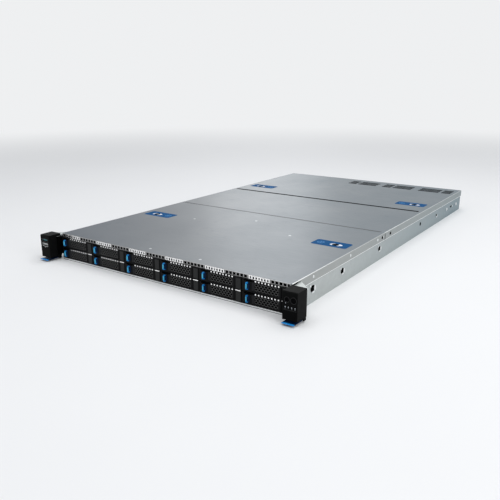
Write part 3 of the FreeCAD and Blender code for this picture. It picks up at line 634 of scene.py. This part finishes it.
# The lip along the floor in bright steel, a painted highlight, with a small rise under each hole of the
# levers' mesh
rises = [at[0] + x for body, at in lower_row.values() for x in STUDS]
add("floor_front_edge", "chassis", BRIGHT_HIGHLIGHT_STEEL, "plated_steel",
    (block, STRIP_X, (FACE + 0.05, FACE + 0.4), (0.7, 2.3), 0.1),
    *[(block, (x - 1.3, x + 1.3), (FACE + 0.05, FACE + 1.2), (1.9, 2.7), 0.2) for x in rises])
# A dark line under the lip: painted shadow
add("floor_edge_underside", "chassis", DUSK, "plated_steel",
    (block, STRIP_X, (FACE + 0.1, FACE + 0.4), (0.05, 0.7)))


# Covers: the bends are rounded, and the face sinks by a hair so that the labels stay within the height

LABEL_SINK = 0.12
SKIRT_LOW = TOP - 12.7
BUTTON_INSET = 35.0         # release buttons, in from a cover's side
SIGN_INSET = 61.0
PRINTED = (TOP - 0.06, TOP - 0.03)
DIMPLES = {"front_cover": ((-1.5, 248.5), (98.7, 196.0), (-102.5, 199.0), (60.5, 14.0), (-35.2, 14.5)),
           "rear_cover": ((-23.0, 572.0), (61.5, 572.0))}


def cover_sheet(node):
    shape = merged_copy(node)
    low, high = span(node)
    top = [v for v in shape.verts if v.co.z > high.z - 0.05]
    bmesh.ops.translate(shape, vec=(0, 0, -LABEL_SINK), verts=top)
    peak = high.z - LABEL_SINK

    def bend(edge):
        return all(v.co.z > peak - 0.05 and abs(abs(v.co.x) - high.x) < 0.05 for v in edge.verts)

    round_off(shape, bend, 0.9, 4)
    return shape


def lock_label(node, side, sign, y, shifted):
    """Blue film along the cover's side, a white field and a dark rim round the button, and a ringed cross."""
    x, mark = sign * (SIDE - BUTTON_INSET), sign * (SIDE - SIGN_INSET)
    film = rounded((sign * (SIDE - 72.5), sign * (SIDE - 12.5)), (shifted - 14.5, shifted + 14.5), 4.0)
    field = [(x - 8.6, y - 3.8), (x + 6.0, y - 5.2), (x + 11.0, y - 1.0), (x + 11.0, y + 2.0),
             (x + 6.5, y + 5.2), (x - 5.0, y + 5.6), (x - 9.4, y + 1.6)]
    add(node + "_label_" + side, node, LABEL, "satin_steel",
        (pierced, film, (x, y), 4.6, TOP - LABEL_SINK, TOP - 0.05))
    add(node + "_label_patch_" + side, node, LABEL_WHITE, "satin_steel",
        (pierced, field, (x, y), 4.7, *PRINTED))
    add(node + "_label_sign_" + side, node, LABEL_PALE, "satin_steel",
        (washer, 4.6, 5.6, (mark, shifted, PRINTED[0]), (mark, shifted, PRINTED[1]), 36),
        (block, (mark - 2.8, mark + 2.8), (shifted - 0.6, shifted + 0.6), PRINTED),
        (block, (mark - 0.6, mark + 0.6), (shifted - 2.8, shifted + 2.8), PRINTED))
    add(node + "_button_rim_" + side, node, DARK, "satin_steel",
        (washer, 4.25, 5.6, (x, y, TOP - 0.055), (x, y, TOP - 0.015), 36))


for node, label_shift in (("front_cover", 1.5), ("rear_cover", 2.0)):
    in_front = node == "front_cover"
    sheet = seated(node + "_sheet", cover_sheet(node), node, COVER, "satin_steel", smooth=True)
    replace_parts(level(sheet), node)
    low, high = span(node + "_buttons")
    middle = (low.y + high.y) / 2
    start, end = span(node)
    length = (start.y + (29.4 if in_front else 0.2), end.y - 0.3)
    # The folded edge along the bottom of both skirts in bright steel, a painted highlight, and a painted
    # shadow under it
    add(node + "_hem", node, BRIGHT_HIGHLIGHT_STEEL, "satin_steel",
        *[(block, (sign * (SIDE - 1.0), sign * (SIDE + 0.2)), length, (SKIRT_LOW - 0.1, SKIRT_LOW + 0.7), 0.2)
          for side, sign in SIDES])
    add(node + "_hem_shadow", "chassis", DUSK, "plated_steel",
        *[(block, (sign * (WALL + 0.03), sign * (WALL + 0.12)), length, (SKIRT_LOW - 1.0, SKIRT_LOW + 0.2))
          for side, sign in SIDES])
    # Shallow pressed marks in the face; the front cover's are in bright screw steel, a painted highlight
    add(node + "_dimples", node, SCREW if in_front else COVER, "satin_steel",
        *[(rod, 2.3, (x, FRONT + y, TOP - LABEL_SINK - 0.02), (x, FRONT + y, TOP - 0.04), 20, 0.0, 1.5)
          for x, y in DIMPLES[node]], smooth=True)
    for side, sign in SIDES:
        lock_label(node, side, sign, middle, middle + label_shift)

# Dark lines across the top: the joint where the two covers meet, widened with painted shade, and painted
# shade on the floor of the rear one's groove
start = span("rear_cover")[0].y
groove = REAR - 267.8
add("cover_joint_line", "rear_cover", DUSK, "satin_steel",
    (block, (-SIDE + 7.0, SIDE - 7.0), (start + 0.02, start + 2.2),
     (TOP - LABEL_SINK - 0.05, TOP - 0.06), 0.02))
add("groove_seal", "rear_cover", DARK, "satin_steel",
    (block, (-SIDE + 7.2, SIDE - 7.2), (groove - 3.9, groove + 3.9), (TOP - 0.55, TOP - 0.25), 0.05))

# Painted shade under each group of vents, by its distance from the right side
VENTS = ((252, 231), (227, 182), (167, 146), (141, 98), (81, 35), (29, 9))
add("rear_vent_mesh", "rear_cover", DARK, "satin_steel",
    *[(block, (SIDE - left - 0.8, SIDE - right + 0.8), (REAR - 58.6, REAR - 23.8), (TOP - 0.6, TOP - 0.35))
      for left, right in VENTS])


# Sides: rail holes with painted shade in their mouths and painted highlights on their drawn lips, marks in
# the skirts and formed screws near the rear

# Distance behind the front edge, half length and half height
RAIL_HOLES = ((54.0, 6.6, 4.8), (144.0, 5.8, 4.3), (282.0, 5.4, 4.0), (483.0, 4.4, 3.4))
RAIL_HEIGHT = 20.0
SCREW_HEIGHT = 17.3
MARK_HEIGHT = 37.0


def side_plate(shape, sign, y, z, radius, proud, low=0.03):
    """A thin rounded plate lying on a side wall."""
    plate(shape, rounded(y, z, radius, 5), "x", sign * (WALL + low), sign * (WALL + proud))


def side_details(sign):
    """Painted shade in the mouths of the rail holes and painted highlights on their lips, the marks further
    back, and painted shade in the gap at the front.
    """
    hole_shade, highlights_and_screws = bmesh.new(), bmesh.new()
    for place, half, rise in RAIL_HOLES:
        y, z = FRONT + place, RAIL_HEIGHT
        side_plate(hole_shade, sign, (y - half * 0.75, y + half), (z - rise, z + rise), rise * 0.98, 0.1)
        if place < 400:
            side_plate(highlights_and_screws, sign, (y + half * 0.75, y + half * 1.45), (z - rise * 0.9, z + rise * 0.6),
                       half * 0.33, 0.5)
            side_plate(highlights_and_screws, sign, (y - half * 0.1, y + half * 0.9), (z - rise * 1.35, z - rise * 0.85),
                       0.5, 0.5)
            side_plate(highlights_and_screws, sign, (y - half, y - half * 0.5), (z + rise * 0.7, z + rise * 1.3), 0.5, 0.4)
    side_plate(hole_shade, sign, (FRONT + 678, FRONT + 690), (16.4, 20.0), 1.4, 0.1)
    side_plate(highlights_and_screws, sign, (FRONT + 691, FRONT + 695), (16.0, 19.0), 1.2, 0.4)
    for place, reach, centre in ((583.0, 3.8, 2.6), (652.0, 3.4, 0.0), (721.0, 3.4, 0.0)):
        x, y, z = sign * WALL, FRONT + place, SCREW_HEIGHT
        rod(highlights_and_screws, reach, (x, y, z), (x + sign * 0.9, y, z), 20, 0.3)
        if centre:
            rod(hole_shade, centre, (x + sign * 0.8, y - 1.8, z + 1.3), (x + sign * 1.0, y - 1.8, z + 1.3), 16)
    # Painted shade in the gap behind the ear
    block(hole_shade, (sign * (WALL + 0.03), sign * (WALL + 0.25)), (FRONT + 0.3, FRONT + 15.0),
          (SKIRT_LOW + 0.4, TOP - 1.3))
    return hole_shade, highlights_and_screws


def skirt_details(sign):
    """Marks of painted shade and of painted highlight in the skirts of the front cover and of the rear one.
    """
    made = {node: (bmesh.new(), bmesh.new()) for node in ("front_cover", "rear_cover")}

    def mark(node, bright, y, z, half, proud):
        outline = rounded((y - half[0], y + half[0]), (z - half[1], z + half[1]), min(half) * 0.9)
        plate(made[node][bright], outline, "x", sign * (SIDE + 0.01), sign * (SIDE + proud))

    for place in (54.0, 168.0, 270.0):
        mark("front_cover", 1, FRONT + place, MARK_HEIGHT + 0.4, (1.9, 2.1), 0.25)
    for node, place in (("front_cover", 290.0), ("rear_cover", 324.5)):
        mark(node, 0, FRONT + place, MARK_HEIGHT, (3.4, 2.4), 0.08)
        mark(node, 1, FRONT + place + 3.6, MARK_HEIGHT, (0.8, 1.9), 0.25)
    for place in (357.0, 481.0, 602.0, 727.0):
        mark("rear_cover", 1, FRONT + place, MARK_HEIGHT + 0.3, (1.6, 1.3), 0.15)
    mark("rear_cover", 0, span("rear_cover")[0].y + 0.9, TOP - 7.0, (0.7, 5.4), 0.06)
    return made


for side, sign in SIDES:
    hole_shade, highlights_and_screws = side_details(sign)
    seated("side_hole_mouths_" + side, hole_shade, "chassis", DARK, "plated_steel")
    seated("side_hole_lips_" + side, highlights_and_screws, "chassis", BRIGHT_HIGHLIGHT_STEEL, "plated_steel")
    # Painted highlights in bright steel on the front cover and in strip steel on the rear one
    for (node, (painted_shade, bright)), finish in zip(skirt_details(sign).items(), (BRIGHT_HIGHLIGHT_STEEL, STRIP)):
        seated(node + "_skirt_holes_" + side, painted_shade, node, DARK, "satin_steel")
        seated(node + "_skirt_marks_" + side, bright, node, finish, "satin_steel")


# Rack ears with their brackets, sockets, buttons and lights

EAR_FACE = span("left_rack_ear")[0].y


def ear_housing(side, sign):
    """The ear's own shape with rounded front edges. Its bracket is plated steel, with painted shade on its
    inner and front faces.
    """
    node = side + "_rack_ear"
    low, high = span(node)
    shape = merged_copy(node)

    def outer(edge):
        return all(v.co.y < low.y + 1.3 for v in edge.verts) or all(
            v.co.z > high.z - 0.05 and v.co.y < FACE + 1 for v in edge.verts)

    def finish(start, end, face):
        if max(abs(start.x), abs(end.x)) > SIDE + 11:
            return 0
        # Painted shade on the bracket's inner and front faces
        return 2 if face.normal.x * sign < -0.5 or face.normal.y < -0.5 else 1

    round_off(shape, outer, 0.35, 2)
    paint(shape, finish)
    piece = seated(node + "_housing", shape, "chassis", (EAR, TUB, DARK), "black_plastic", smooth=True)
    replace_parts(level(piece), node)


def ear_gusset(side, sign):
    """The plated corner that ties the ear to the side wall."""
    top = span(side + "_rack_ear")[1].z
    inner, outer = sign * (SIDE + 0.5), sign * (SIDE + 21.8)
    add(side + "_ear_gusset", "chassis", TUB, "plated_steel",
        (plate, [(inner, FACE + 0.6), (outer, FACE + 0.6), (outer, FACE + 5.0), (inner, FACE + 25.0)],
         "z", top - 3.4, top - 2.6, 0.15))


def rail_latch(side, sign):
    """Bright blue tip ahead of the ear; the stem and root behind it in darker blue, painted shade under the
    ear.
    """
    node = side + "_rail_latch"
    low = span(node)[0]
    tip, bottom, top = low.y, low.z, low.z + 1.2
    stem, root, middle = EAR_FACE - 2.4, EAR_FACE + 19.0, bottom + 1.2
    x = sorted((sign * (SIDE + 3.0), sign * (SIDE + 20.3)))
    piece = add(side + "_latch_tip", node, BLUE, "blue_plastic",
                (plate, [(tip, bottom + 0.4), (tip + 0.4, bottom), (stem, bottom), (stem, top),
                         (tip + 0.8, top), (tip, top - 0.4)], "x", *x, 0.15))
    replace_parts(piece, node)
    # Painted shade: the root under the ear in darker blue
    add(side + "_latch_root", node, BLUE_PAINTED_SHADE, "blue_plastic",
        (block, x, (EAR_FACE - 2.5, root), (bottom, top), 0.2),
        (rod, 1.75, (x[0] + 0.05, root, middle), (x[1] - 0.05, root, middle), 24),
        (rod, 1.15, (x[0] - 1.1, root, middle), (x[1] + 1.1, root, middle), 18))


for side, sign in SIDES:
    ear_housing(side, sign)
    ear_gusset(side, sign)
    rail_latch(side, sign)

# The two sockets in the left ear, each a metal mouth with its contact tongue
left, right = -236.95, -224.35
for n, z, shell, tongue in ((1, 34.2, DUSK, TEAL), (2, 27.0, SHELL, TONGUE)):
    add("front_socket_shell_" + str(n), "chassis", shell, "black_plastic",
        *[(block, x, (EAR_FACE + 0.15, EAR_FACE + 5.0), (z + low, z + high), 0.1) for x, low, high in (
            ((left, right), 2.2, 2.75), ((left, right), -2.75, -2.2),
            ((left - 0.1, left + 0.4), -2.6, 2.6), ((right - 0.4, right + 0.1), -2.6, 2.6))])
    add("front_socket_tongue_" + str(n), "chassis", tongue, "black_plastic",
        (block, (left + 1.6, right - 1.6), (EAR_FACE + 0.8, EAR_FACE + 6.0), (z - 0.1, z + 1.8), 0.2))

# Marks on the ears: rings round the buttons, and status lights with a short line under each
PANEL = (EAR_FACE - 0.06, EAR_FACE + 0.2)
add("left_ear_mark", "chassis", PRINT, "black_plastic",
    (block, (-232.2, -229.1), PANEL, (22.2, 22.6)),
    (block, (-231.0, -230.3), PANEL, (22.0, 24.4)))
add("panel_button_rings", "chassis", RING, "black_plastic",
    *[(washer, radius - 0.15, radius + 0.25, (x, EAR_FACE + 0.1, 32.6), (x, EAR_FACE - 0.3, 32.6), 36)
      for x, radius in ((235.6, 4.1), (226.4, 3.5))])
lights = []
for x in (224.3, 228.6, 233.3, 237.9):
    lights.append((rod, 0.65, (x, EAR_FACE + 0.2, 23.2), (x, EAR_FACE - 0.12, 23.2), 12))
    lights.append((block, (x - 0.5, x + 0.5), PANEL, (21.3, 21.6)))
add("right_ear_lights", "chassis", LABEL_WHITE, "black_plastic", *lights,
    (rod, 0.5, (224.7, EAR_FACE + 0.2, 28.2), (224.7, EAR_FACE - 0.12, 28.2), 12))
add("right_ear_line", "chassis", RING, "black_plastic",
    (block, (221.4, 239.9), (EAR_FACE - 0.1, EAR_FACE + 0.2), (19.2, 19.6), 0.05))
add("right_ear_lower_panel", "chassis", EAR_DARK, "black_plastic",
    (block, (220.9, 240.4), (EAR_FACE - 0.12, EAR_FACE + 0.2), (7.4, 18.9), 0.1))


# Pieces whose own solids have different finishes

BOARD_TOP = 7.6
BAY_END = -66.2             # right side of the power supplies' bay


def painted(name, node, body, finishes, pick, slot):
    """A copy of a node, each of its solids or faces in its own finish."""
    shape = merged_copy(node)
    paint(shape, pick)
    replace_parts(seated(name, shape, body, finishes, slot), node)


def board_finish(low, high, face):
    size = high - low
    if size.z < 3.5 and high.z < BOARD_TOP + 3.5:
        return 0 if high.z < BOARD_TOP + 0.1 else 2
    return 1 if size.y > 100 else 3


painted("board_and_sockets", "system_board", "chassis", (BOARD, SOCKET, SOCKET_PALE, SHELL), board_finish,
        "circuit_board")
painted("backplane_and_plugs", "drive_backplane", "chassis", (BOARD, SOCKET),
        lambda low, high, face: 0 if high.x - low.x > 100 else 1, "circuit_board")
painted("fan_wall_and_frames", "fan_frames", "chassis", (FAN, CAGE),
        lambda low, high, face: 1 if high.x - low.x > 100 else 0, "fan_plastic")


# Rear: ports and slot covers

PORT_TOP = BOARD_TOP + 13.5
NETWORK_PORTS = [(BAY_END + left, BAY_END + left + 16.0) for left in (10.2, 32.2, 54.2)]
USB_PORTS = [(BAY_END + left, BAY_END + left + 10.6) for left in (80.4, 99.4)]
USB_HEIGHTS = (BOARD_TOP + 3.4, BOARD_TOP + 9.6)
VIDEO_LEFT, VIDEO_RIGHT = BAY_END + 118.2, BAY_END + 152.2
CARD_SLOTS = ((-58.0, 62.0), (84.0, 204.0))
SCREW_PLACES = ((-62.3, 32.0), (73.0, 32.0), (210.0, 32.0), (93.0, 14.0))

# Network ports: black liners, gilded contacts and a light at both sides
liners = []
for left, right in NETWORK_PORTS:
    left, right = left + 2.0, right - 2.0
    liners.append((block, (left, right), (REAR - 13.9, REAR - 13.2), (BOARD_TOP + 2.0, PORT_TOP - 2.0)))
    for x in ((left, left + 3.0), (right - 3.0, right)):
        liners.append((block, x, (REAR - 13.0, REAR - 0.6), (BOARD_TOP + 2.0, BOARD_TOP + 4.0), 0.15))
    liners.append((block, (left, right), (REAR - 13.0, REAR - 0.6), (PORT_TOP - 2.4, PORT_TOP - 2.0), 0.1))
add("network_port_liners", "chassis", SOCKET, "circuit_board", *liners)
pins = [left + 4.1 + n * 1.1 for left, right in NETWORK_PORTS for n in range(8)]
add("network_port_contacts", "chassis", GOLD, "circuit_board",
    *[(block, (x, x + 0.45), (REAR - 9.0, REAR - 2.5), (PORT_TOP - 2.9, PORT_TOP - 2.5), 0.1) for x in pins])
add("network_port_lights", "chassis", LAMP, "circuit_board",
    *[(block, (x - 0.7, x + 0.7), (REAR - 0.2, REAR + 0.15), (PORT_TOP - 1.7, PORT_TOP - 0.5), 0.1)
      for left, right in NETWORK_PORTS for x in (left + 1.0, right - 1.0)])

# Double sockets: a tongue in each, with four contacts under it
add("usb_tongues", "chassis", TEAL, "circuit_board",
    *[(block, x, (REAR - 11.5, REAR - 1.2), (z, z + 1.8), 0.15) for x in USB_PORTS for z in USB_HEIGHTS])
pins = [(left + 1.3 + n * 2.4, z) for left, right in USB_PORTS for z in USB_HEIGHTS for n in range(4)]
add("usb_contacts", "chassis", GOLD, "circuit_board",
    *[(block, (x, x + 0.9), (REAR - 8.0, REAR - 1.6), (z - 0.15, z + 0.1)) for x, z in pins])

# Video port: the slanted blue block, its rows of holes and the standoffs beside it
left, right, low, high = VIDEO_LEFT + 8.6, VIDEO_RIGHT - 8.6, BOARD_TOP + 2.9, BOARD_TOP + 9.6
add("video_port_face", "chassis", VIDEO, "circuit_board",
    (plate, [(left + 1.2, low), (right - 1.2, low), (right, high), (left, high)],
     "y", REAR - 4.6, REAR - 0.4, 0.3), smooth=True)
middle = (VIDEO_LEFT + VIDEO_RIGHT) / 2
pins = [(middle - 4.9 + n * 2.3 + row % 2 * 0.6, BOARD_TOP + 4.3 + row * 1.95)
        for row in range(3) for n in range(5)]
add("video_port_holes", "chassis", DARK, "circuit_board",
    *[(rod, 0.45, (x, REAR - 0.6, z), (x, REAR - 0.3, z), 8) for x, z in pins])
z = BOARD_TOP + 6.2
add("video_port_screws", "chassis", SCREW, "circuit_board",
    *[(rod, 2.4, (x, REAR - 4.8, z), (x, REAR - 0.2, z), 6, 0.2)
      for x in (VIDEO_LEFT + 4.6, VIDEO_RIGHT - 4.6)])

# Dark long holes in the plates over the card slots and the card bay
vents = [(left + 9.0 + k * 5.0, 3.0, (27.0, 37.5), 1.45) for left, right in CARD_SLOTS for k in range(20)]
vents += [(108.0 + k * 5.4, 3.2, (10.0, 18.5), 1.55) for k in range(17)]
add("slot_cover_vents", "chassis", DARK, "plated_steel",
    *[(plate, rounded((x, x + width), z, radius), "y", REAR - 0.98, REAR - 0.85)
      for x, width, z, radius in vents])
add("rear_screws", "chassis", SCREW, "plated_steel",
    *[(rod, 2.8, (x, REAR - 0.05, z), (x, REAR + 1.3, z), 24, 0.35) for x, z in SCREW_PLACES], smooth=True)
add("rear_screw_crosses", "chassis", DARK, "plated_steel",
    *[(block, (x - wide, x + wide), (REAR + 1.2, REAR + 1.35), (z - tall, z + tall))
      for x, z in SCREW_PLACES for wide, tall in ((1.5, 0.3), (0.3, 1.5))])


def supply_pieces(node):
    """Case, fan guard and blades, inlet frame, release tab, light and plate of one power supply."""
    low, high = span(node)
    left, right, top = low.x, high.x, high.z
    x, z = left + 20.0, (low.z + high.z) / 2

    def finish(start, end, face):
        spot = face.calc_center_median()
        handle = spot.y > REAR + 0.05
        inlet = REAR - 15.9 < spot.y < REAR - 0.05 and left + 36 < spot.x < right - 4
        behind_fan = REAR - 3.2 < spot.y < REAR - 2.8 and abs(spot.x - x) < 15
        return 1 if handle or inlet else 2 if behind_fan else 0

    painted(node + "_case", node, node, (TUB, SOCKET, DARK), finish, "plated_steel")
    # Wire rings and a cross in front of the fan
    middle = Vector((x, REAR - 1.15, z))
    reaches = [Vector((cos(radians(turn)), 0, sin(radians(turn)))) * 14.6 for turn in (45, 135)]
    add(node + "_fan_guard", node, SCREW, "plated_steel",
        *[(washer, radius - 0.45, radius + 0.45, (x, REAR - 1.6, z), (x, REAR - 0.7, z))
          for radius in (3.2, 6.4, 9.6, 12.8)],
        *[(rod, 0.5, middle - reach, middle + reach, 10) for reach in reaches], smooth=True)
    blades = []
    for turn in (radians(360 * n / 7) for n in range(7)):
        corners = [(x + r * cos(turn + a), z + r * sin(turn + a))
                   for r, a in ((4.8, -0.2), (14.2, 0.1), (14.2, 0.62), (4.8, 0.5))]
        blades.append((plate, corners, "y", REAR - 2.85, REAR - 2.5))
    add(node + "_fan_blades", node, FAN, "plated_steel",
        (rod, 5.2, (x, REAR - 2.9, z), (x, REAR - 2.2, z), 28), *blades)
    inlet = (right - 32.4, right - 4.6)
    add(node + "_inlet_frame", node, SOCKET, "black_plastic",
        *[(block, across, (REAR - 0.02, REAR + 1.2), rise, 0.25) for across, rise in (
            (inlet, (23.3, 24.8)), (inlet, (4.8, 6.3)),
            ((inlet[0], inlet[0] + 1.4), (4.8, 24.8)), ((inlet[1] - 1.4, inlet[1]), (4.8, 24.8)))])
    add(node + "_release_tab", node, BLUE, "blue_plastic",
        (block, (right - 3.4, right - 1.2), (REAR - 0.05, REAR + 6.0), (9.0, 21.0), 0.4))
    add(node + "_light", node, LAMP, "plated_steel",
        (rod, 1.1, (right - 36.0, REAR - 0.05, 27.5), (right - 36.0, REAR + 0.35, 27.5), 16, 0.15))
    add(node + "_plate", node, LABEL_WHITE, "plated_steel",
        (block, (left + 6.0, left + 46.0), (REAR - 120.0, REAR - 50.0), (top - 0.02, top + 0.08), 0.02))
    lines = [(REAR - 114.0 + n * 7.0, 40.0 if n % 3 else 30.0) for n in range(9)]
    add(node + "_plate_lines", node, PRINT, "plated_steel",
        *[(block, (left + 10.0, left + end), (y, y + 1.6), (top + 0.07, top + 0.11)) for y, end in lines])


supply_pieces("power_supply_1")
supply_pieces("power_supply_2")


# Inside: what the board, the fans and the heatsinks carry

PROCESSOR_Y = -8.4
PROCESSORS = (-104.0, 104.0)
SINK_TOP = 37.5
MEMORY = [x + side * (47.0 + n * 11.0) for x in PROCESSORS for n in range(5) for side in (-1, 1)]
BOARD_FACE = BOARD_TOP - 0.02
# Middle, width, length and height
CHIPS = ((-20, 105, 26, 26, 2.4), (40, 120, 18, 18, 1.8), (120, 130, 14, 20, 1.6), (165, 110, 12, 12, 1.5),
         (75, 150, 10, 16, 1.5), (-150, 100, 16, 16, 1.6), (-90, 110, 12, 18, 1.5), (20, 200, 22, 22, 2.2),
         (90, 215, 15, 15, 1.6), (150, 190, 20, 14, 1.8), (180, 260, 12, 12, 1.5), (-20, 260, 14, 20, 1.6),
         (60, 290, 12, 12, 1.4), (120, 300, 16, 10, 1.4))
PLUGS = ((-190, 170, 24, 12, 9), (-150, 170, 24, 12, 9), (-110, 170, 18, 10, 9), (2, 315, 8, 60, 11),
         (96, 315, 8, 60, 11), (206, 100, 8, 40, 8), (196, 200, 10, 30, 8), (-206, 100, 8, 40, 8))


def on_board(rows, bevel):
    return [(block, (x - width / 2, x + width / 2), (y - length / 2, y + length / 2),
             (BOARD_FACE, BOARD_FACE + height), bevel) for x, y, width, length, height in rows]


def can(radius, x, y, height, sides, bevel):
    return (rod, radius, (x, y, BOARD_FACE), (x, y, BOARD_FACE + height), sides, bevel)


# Pale latches at both ends of every memory socket, and gilded contacts between them
add("memory_latches", "chassis", SOCKET_PALE, "circuit_board",
    *[(block, (x - 2.6, x + 2.6), (PROCESSOR_Y + end * 68.6, PROCESSOR_Y + end * 73.8),
       (BOARD_TOP + 0.1, BOARD_TOP + 10.0), 0.5) for x in MEMORY for end in (-1, 1)])
add("memory_contacts", "chassis", GOLD, "circuit_board",
    *[(block, (x - 0.95, x + 0.95), (PROCESSOR_Y - 66.0, PROCESSOR_Y + 66.0),
       (BOARD_TOP + 2.55, BOARD_TOP + 2.9)) for x in MEMORY])
# Spring screws at the corners of each heatsink
corners = [(x + across, PROCESSOR_Y + along) for x in PROCESSORS for across in (-34.0, 34.0)
           for along in (-49.0, 49.0)]
add("heatsink_screws", "chassis", SCREW, "aluminium_fins",
    *[(rod, 2.2, (*corner, BOARD_TOP + 7.2), (*corner, SINK_TOP + 0.6), 20, 0.2) for corner in corners],
    smooth=True)
add("board_chips", "chassis", SOCKET, "circuit_board", *on_board(CHIPS, 0.25))
coils = [x + n * 10 - 30 for x in PROCESSORS for n in range(7)]
add("board_capacitors", "chassis", SCREW, "circuit_board",
    *[can(3.1, x, 74.0, 8.5, 20, 0.5) for x in coils],
    *[can(2.4, n * 26 - 40, 240.0, 6.5, 18, 0.4) for n in range(9)], smooth=True)
add("board_chokes", "chassis", GRIP, "circuit_board",
    *[(block, (x - 3.5, x + 3.5), (82.0, 89.0), (BOARD_FACE, BOARD_FACE + 6.0), 0.6) for x in coils])
add("board_plugs", "chassis", SOCKET_PALE, "circuit_board", *on_board(PLUGS, 0.4))
add("board_cell", "chassis", SHELL, "circuit_board",
    (rod, 10.0, (150.0, 240.0, BOARD_FACE + 1.5), (150.0, 240.0, BOARD_FACE + 4.6), 32, 0.4))
# A round label on each fan's hub
for column in COLUMNS:
    node = "fan_rotor_" + str(column)
    low, high = span(node)
    x, z = (low.x + high.x) / 2, (low.z + high.z) / 2
    add("fan_label_" + str(column), node, PRINT, "fan_plastic",
        (rod, 6.6, (x, low.y - 0.12, z), (x, low.y + 0.1, z), 28))


# Floor, light and camera, in metres

BACKDROP = (0.86, 0.87, 0.88)
FADE_START, FADE_END = 0.9, 2.6


def pale_floor():
    """A floor that fades into the backdrop away from the object, so that no horizon shows."""
    shape = bmesh.new()
    bmesh.ops.create_grid(shape, x_segments=1, y_segments=1, size=9.0)
    mesh = bpy.data.meshes.new("floor")
    shape.to_mesh(mesh)
    shape.free()
    floor = bpy.data.objects.new("floor", mesh)
    bpy.context.scene.collection.objects.link(floor)
    finish = Finish("floor_pale", (0.74, 0.745, 0.75), 0.7)
    path = [finish.node("LightPath", output=name)
            for name in ("Is Camera Ray", "Is Glossy Ray", "Is Transmission Ray")]
    seen = path[0] + path[1] + path[2]
    lit = finish.mix(finish.noise(2.0), (0.80, 0.805, 0.81), (0.84, 0.845, 0.85))
    finish.feed("Base Color", finish.mix(seen, (0.20, 0.205, 0.21), lit))
    place = finish.node("TexCoord", output="Object")
    reach = finish.node("VectorMath", {"operation": "LENGTH"}, {0: place}, 1)
    far = finish.node("MapRange", {"interpolation_type": "SMOOTHSTEP"},
                      {0: reach, 1: FADE_START, 2: FADE_END, 3: 0.0, 4: 1.0})
    glow = finish.node("Emission", values={"Color": (*BACKDROP, 1), "Strength": 1.0})
    near = Tone(finish, finish.shader.outputs[0])
    shown = finish.node("MixShader", values={0: far * seen, 1: near, 2: glow})
    finish.tree.links.new(shown.socket, finish.tree.nodes["Material Output"].inputs["Surface"])
    mesh.materials.append(finish.material)


def backdrop():
    """A soft fill light, and the plain backdrop where the camera or a reflection sees it."""
    world = bpy.data.worlds.new("studio")
    bpy.context.scene.world = world
    world.use_nodes = True
    tree = world.node_tree
    tree.nodes.clear()
    path = tree.nodes.new("ShaderNodeLightPath")
    seen = tree.nodes.new("ShaderNodeMath")
    seen.operation = "MAXIMUM"
    tree.links.new(path.outputs["Is Camera Ray"], seen.inputs[0])
    through = tree.nodes.new("ShaderNodeMath")
    through.operation = "MAXIMUM"
    tree.links.new(path.outputs["Is Glossy Ray"], through.inputs[0])
    tree.links.new(path.outputs["Is Transmission Ray"], through.inputs[1])
    tree.links.new(through.outputs[0], seen.inputs[1])
    fill = tree.nodes.new("ShaderNodeBackground")
    fill.inputs["Color"].default_value = (0.80, 0.83, 0.88, 1)
    fill.inputs["Strength"].default_value = 0.42
    pale = tree.nodes.new("ShaderNodeBackground")
    pale.inputs["Color"].default_value = (*BACKDROP, 1)
    pale.inputs["Strength"].default_value = 1.0
    joined = tree.nodes.new("ShaderNodeMixShader")
    tree.links.new(seen.outputs[0], joined.inputs[0])
    tree.links.new(fill.outputs[0], joined.inputs[1])
    tree.links.new(pale.outputs[0], joined.inputs[2])
    out = tree.nodes.new("ShaderNodeOutputWorld")
    tree.links.new(joined.outputs[0], out.inputs["Surface"])


def lamp(name, place, aim, size, power):
    light = bpy.data.lights.new(name, "AREA")
    light.shape, light.size, light.size_y = "RECTANGLE", size[0], size[1]
    light.energy = power
    thing = bpy.data.objects.new(name, light)
    thing.location = place
    thing.rotation_euler = (Vector(aim) - Vector(place)).to_track_quat("-Z", "Y").to_euler()
    thing.visible_camera = False
    bpy.context.scene.collection.objects.link(thing)


def photo_camera():
    data = bpy.data.cameras.new("camera")
    camera = bpy.data.objects.new("camera", data)
    bpy.context.scene.collection.objects.link(camera)
    data.lens, data.sensor_width = 42.0, 36.0
    data.clip_start, data.clip_end = 0.01, 40.0
    camera.location = (0.55896, -0.96804, 0.28911)
    camera.rotation_mode = "QUATERNION"
    camera.rotation_quaternion = Vector((-0.54072, 0.79153, -0.28478)).to_track_quat("-Z", "Y")
    bpy.context.scene.camera = camera
    bpy.context.scene.view_settings.view_transform = "Standard"


pale_floor()
backdrop()
lamp("softbox_behind", (-1.35, 2.0, 0.95), (-0.05, 0.0, 0.04), (0.66, 1.2), 2.7)
lamp("softbox_over", (0.3, 0.0, 1.9), (0.0, 0.0, 0.0), (2.2, 2.2), 30.0)
lamp("softbox_right", (2.1, -0.6, 0.9), (0.1, 0.0, 0.0), (1.2, 1.6), 16.0)
lamp("softbox_front", (-0.9, -2.2, 0.9), (0.0, -0.3, 0.0), (1.8, 1.0), 10.0)
photo_camera()
